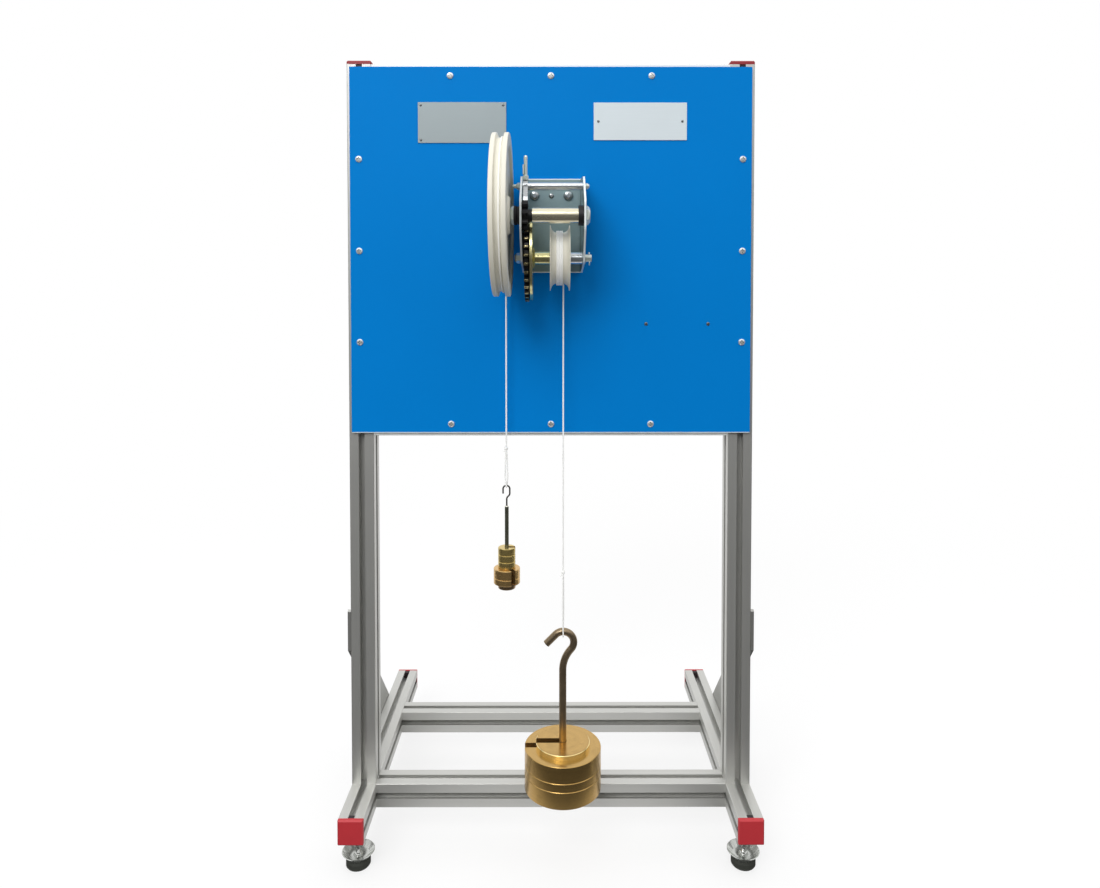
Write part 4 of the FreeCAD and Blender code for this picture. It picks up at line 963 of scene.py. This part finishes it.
class WINCH_OT_weights(bpy.types.Operator):
    """Finishes the brass weights, their rods and hooks"""
    bl_idname = "winch.weights"
    bl_label = "Weights"

    def execute(self, context):
        colours = context.scene.winch_unit.colours
        stem, stem_small = middle("load_base_mass"), middle("effort_base_mass")
        load_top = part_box("load_mass_top")[1].z
        rod_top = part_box("effort_rod")[1].z
        rim = load_top - stem.z
        # Painted highlight: a bright band round the top weight's rim.
        painted_glint = (rim - 7.5 * MM, rim - 0.2 * MM, 42.6 * MM, colours.glint)
        clad(turned("load_brass", colours.brass, Z, stem, metallic=0.94, rough=0.13, light=1.12, dark=0.86,
                    grain=0.12, ring=1500.0, wear=0.2, painted_glint=painted_glint),
             "load_base_mass", "load_mass_middle", "load_mass_top")
        for node, rgba in (("effort_base_mass", colours.effort_base),
                           ("effort_masses_large", colours.effort_large),
                           ("effort_masses_small", colours.effort_small)):
            clad(turned(node + "_brass", rgba, Z, stem_small, metallic=0.90, rough=0.19, light=1.06,
                        dark=0.92, grain=0.0, ring=900.0, wear=0.25), node)
        clad(aged_rod("hook_bronze", colours.bronze, bright=colours.brass, fade=load_top + 34 * MM,
                      clear=load_top + 10 * MM, drift=20 * MM), "load_hook")
        clad(aged_rod("rod_bronze", colours.rod, bright=colours.rod_end, fade=rod_top - 1.8 * MM,
                      clear=rod_top - 1.2 * MM, drift=0.0), "effort_rod")
        clad(plated("hook_steel", colours.hook, metallic=0.9, rough=0.28, blotch=0.2, dark=0.4),
             "effort_hook")
        return {"FINISHED"}


class WINCH_OT_stage(bpy.types.Operator):
    """Builds the pale floor, the lamp and the white surroundings"""
    bl_idname = "winch.stage"
    bl_label = "Stage"

    def execute(self, context):
        scene = context.scene
        stage = scene.winch_unit.stage
        scene.view_settings.view_transform = "Standard"
        self.floor(stage)
        self.lamp("key_lamp", stage.key_size, stage.key_power, place=(-1.0, -3.0, 2.9), aim=(0.0, -0.1, 0.75))
        self.screen()
        self.world(scene, stage)
        return {"FINISHED"}

    def screen(self):
        """A dark cloth, pale in its middle, and a curved screen that pales upwards, for reflections."""
        half_turn, reach, centre_reach, bottom, top = math.radians(115), 3.3, 0.02, 0.004, 4.0
        shape = bmesh.new()
        bmesh.ops.create_grid(shape, x_segments=40, y_segments=2, size=1.0)
        for vertex in shape.verts:
            angle = half_turn * vertex.co.x
            away = centre_reach if vertex.co.y < -0.5 else reach
            height = top if vertex.co.y > 0.5 else bottom
            vertex.co = (away * math.sin(angle), -away * math.cos(angle), height)
        finish = Finish("flag_cloth", Roughness=1.0, Specular_IOR_Level=0.0, Emission_Strength=1.0)
        where = finish.place()
        weave = finish.noise(where, scale=40.0, detail=2.0)
        finish.base(finish.blend(weave, BLACK, (0.01, 0.01, 0.01, 1.0)))
        paling = finish.rise(finish.parts(where)[Z], start=0.9, end=3.1, first=0.045, last=1.0)
        foot = finish.rise(finish.radius(where, Z), start=0.24, end=0.40, first=0.75, last=0.0)
        finish.skin("Emission Color", finish.blend(paling + foot, BLACK, WHITE))
        screen = piece("flag", shape, finish.material)
        screen.visible_camera = screen.visible_diffuse = screen.visible_shadow = False

    def floor(self, stage):
        """Pale paper that fades into the white background away from the unit."""
        shape = bmesh.new()
        bmesh.ops.create_circle(shape, cap_ends=True, radius=stage.floor_radius, segments=96)
        finish = Finish("floor_paper", Roughness=0.9)
        where = finish.place()
        cloud = finish.noise(where, scale=1.5, detail=2.0)
        bounce = finish.blend(cloud, tint(stage.floor, 0.99), tint(stage.floor, 1.01))
        finish.base(finish.blend(finish.ray("Camera"), bounce, (0.9, 0.9, 0.9, 1.0)))
        fade = finish.rise(finish.radius(where, Z), start=0.7, end=3.0, first=0.72, last=1.0)
        glow = finish.node("ShaderNodeEmission")
        seen = finish.looked_at() * fade
        mix = finish.node("ShaderNodeMixShader", {}, {0: seen, 1: finish.shader, 2: glow})
        finish.feed(finish.surface, mix)
        piece("floor", shape, finish.material)

    def lamp(self, name, size, power, place, aim):
        """A square area lamp turned to what it lights."""
        data = bpy.data.lights.new(name, "AREA")
        data.energy = power
        data.size = size
        lamp = bpy.data.objects.new(name, data)
        lamp.location = place
        lamp.rotation_euler = (Vector(aim) - Vector(place)).to_track_quat("-Z", "Y").to_euler()
        bpy.context.scene.collection.objects.link(lamp)

    def world(self, scene, stage):
        """Soft light that grows towards the zenith, behind a plain white background."""
        world = bpy.data.worlds.new("surroundings")
        world.use_nodes = True
        sky = Nodes(world.node_tree)
        up = sky.parts(sky.node("ShaderNodeTexCoord", output="Generated"))[Z]
        strength = sky.rise(up, start=0.0, end=1.0, first=stage.horizon, last=stage.zenith, way="LINEAR")
        light = sky.node("ShaderNodeBackground", {}, {"Color": WHITE, "Strength": strength})
        white = sky.node("ShaderNodeBackground", {}, {"Color": WHITE, "Strength": 1.0})
        mix = sky.node("ShaderNodeMixShader", {}, {0: sky.looked_at(), 1: light, 2: white})
        sky.node("ShaderNodeOutputWorld", {}, {"Surface": mix})
        scene.world = world


class WINCH_PT_panel(bpy.types.Panel):
    """Lists the steps in the sidebar"""
    bl_idname = "WINCH_PT_panel"
    bl_label = "Winch demonstration unit"
    bl_space_type = "VIEW_3D"
    bl_region_type = "UI"
    bl_category = "Winch"

    def draw(self, context):
        for operator in OPERATORS:
            self.layout.operator(operator.bl_idname)


GROUPS = (WinchViewSettings, WinchStageSettings, WinchCordSettings, WinchColourSettings, WinchUnitSettings)
OPERATORS = (WINCH_OT_camera, WINCH_OT_cords, WINCH_OT_frame, WINCH_OT_panel, WINCH_OT_winch,
             WINCH_OT_wheel, WINCH_OT_weights, WINCH_OT_stage)
CLASSES = GROUPS + OPERATORS + (WINCH_PT_panel,)


def register():
    for item in CLASSES:
        bpy.utils.register_class(item)
    bpy.types.Scene.winch_unit = PointerProperty(type=WinchUnitSettings)


def unregister():
    del bpy.types.Scene.winch_unit
    for item in reversed(CLASSES):
        bpy.utils.unregister_class(item)


def main():
    register()
    for operator in OPERATORS:
        group, name = operator.bl_idname.split(".")
        getattr(getattr(bpy.ops, group), name)()


if __name__ == "__main__":
    main()
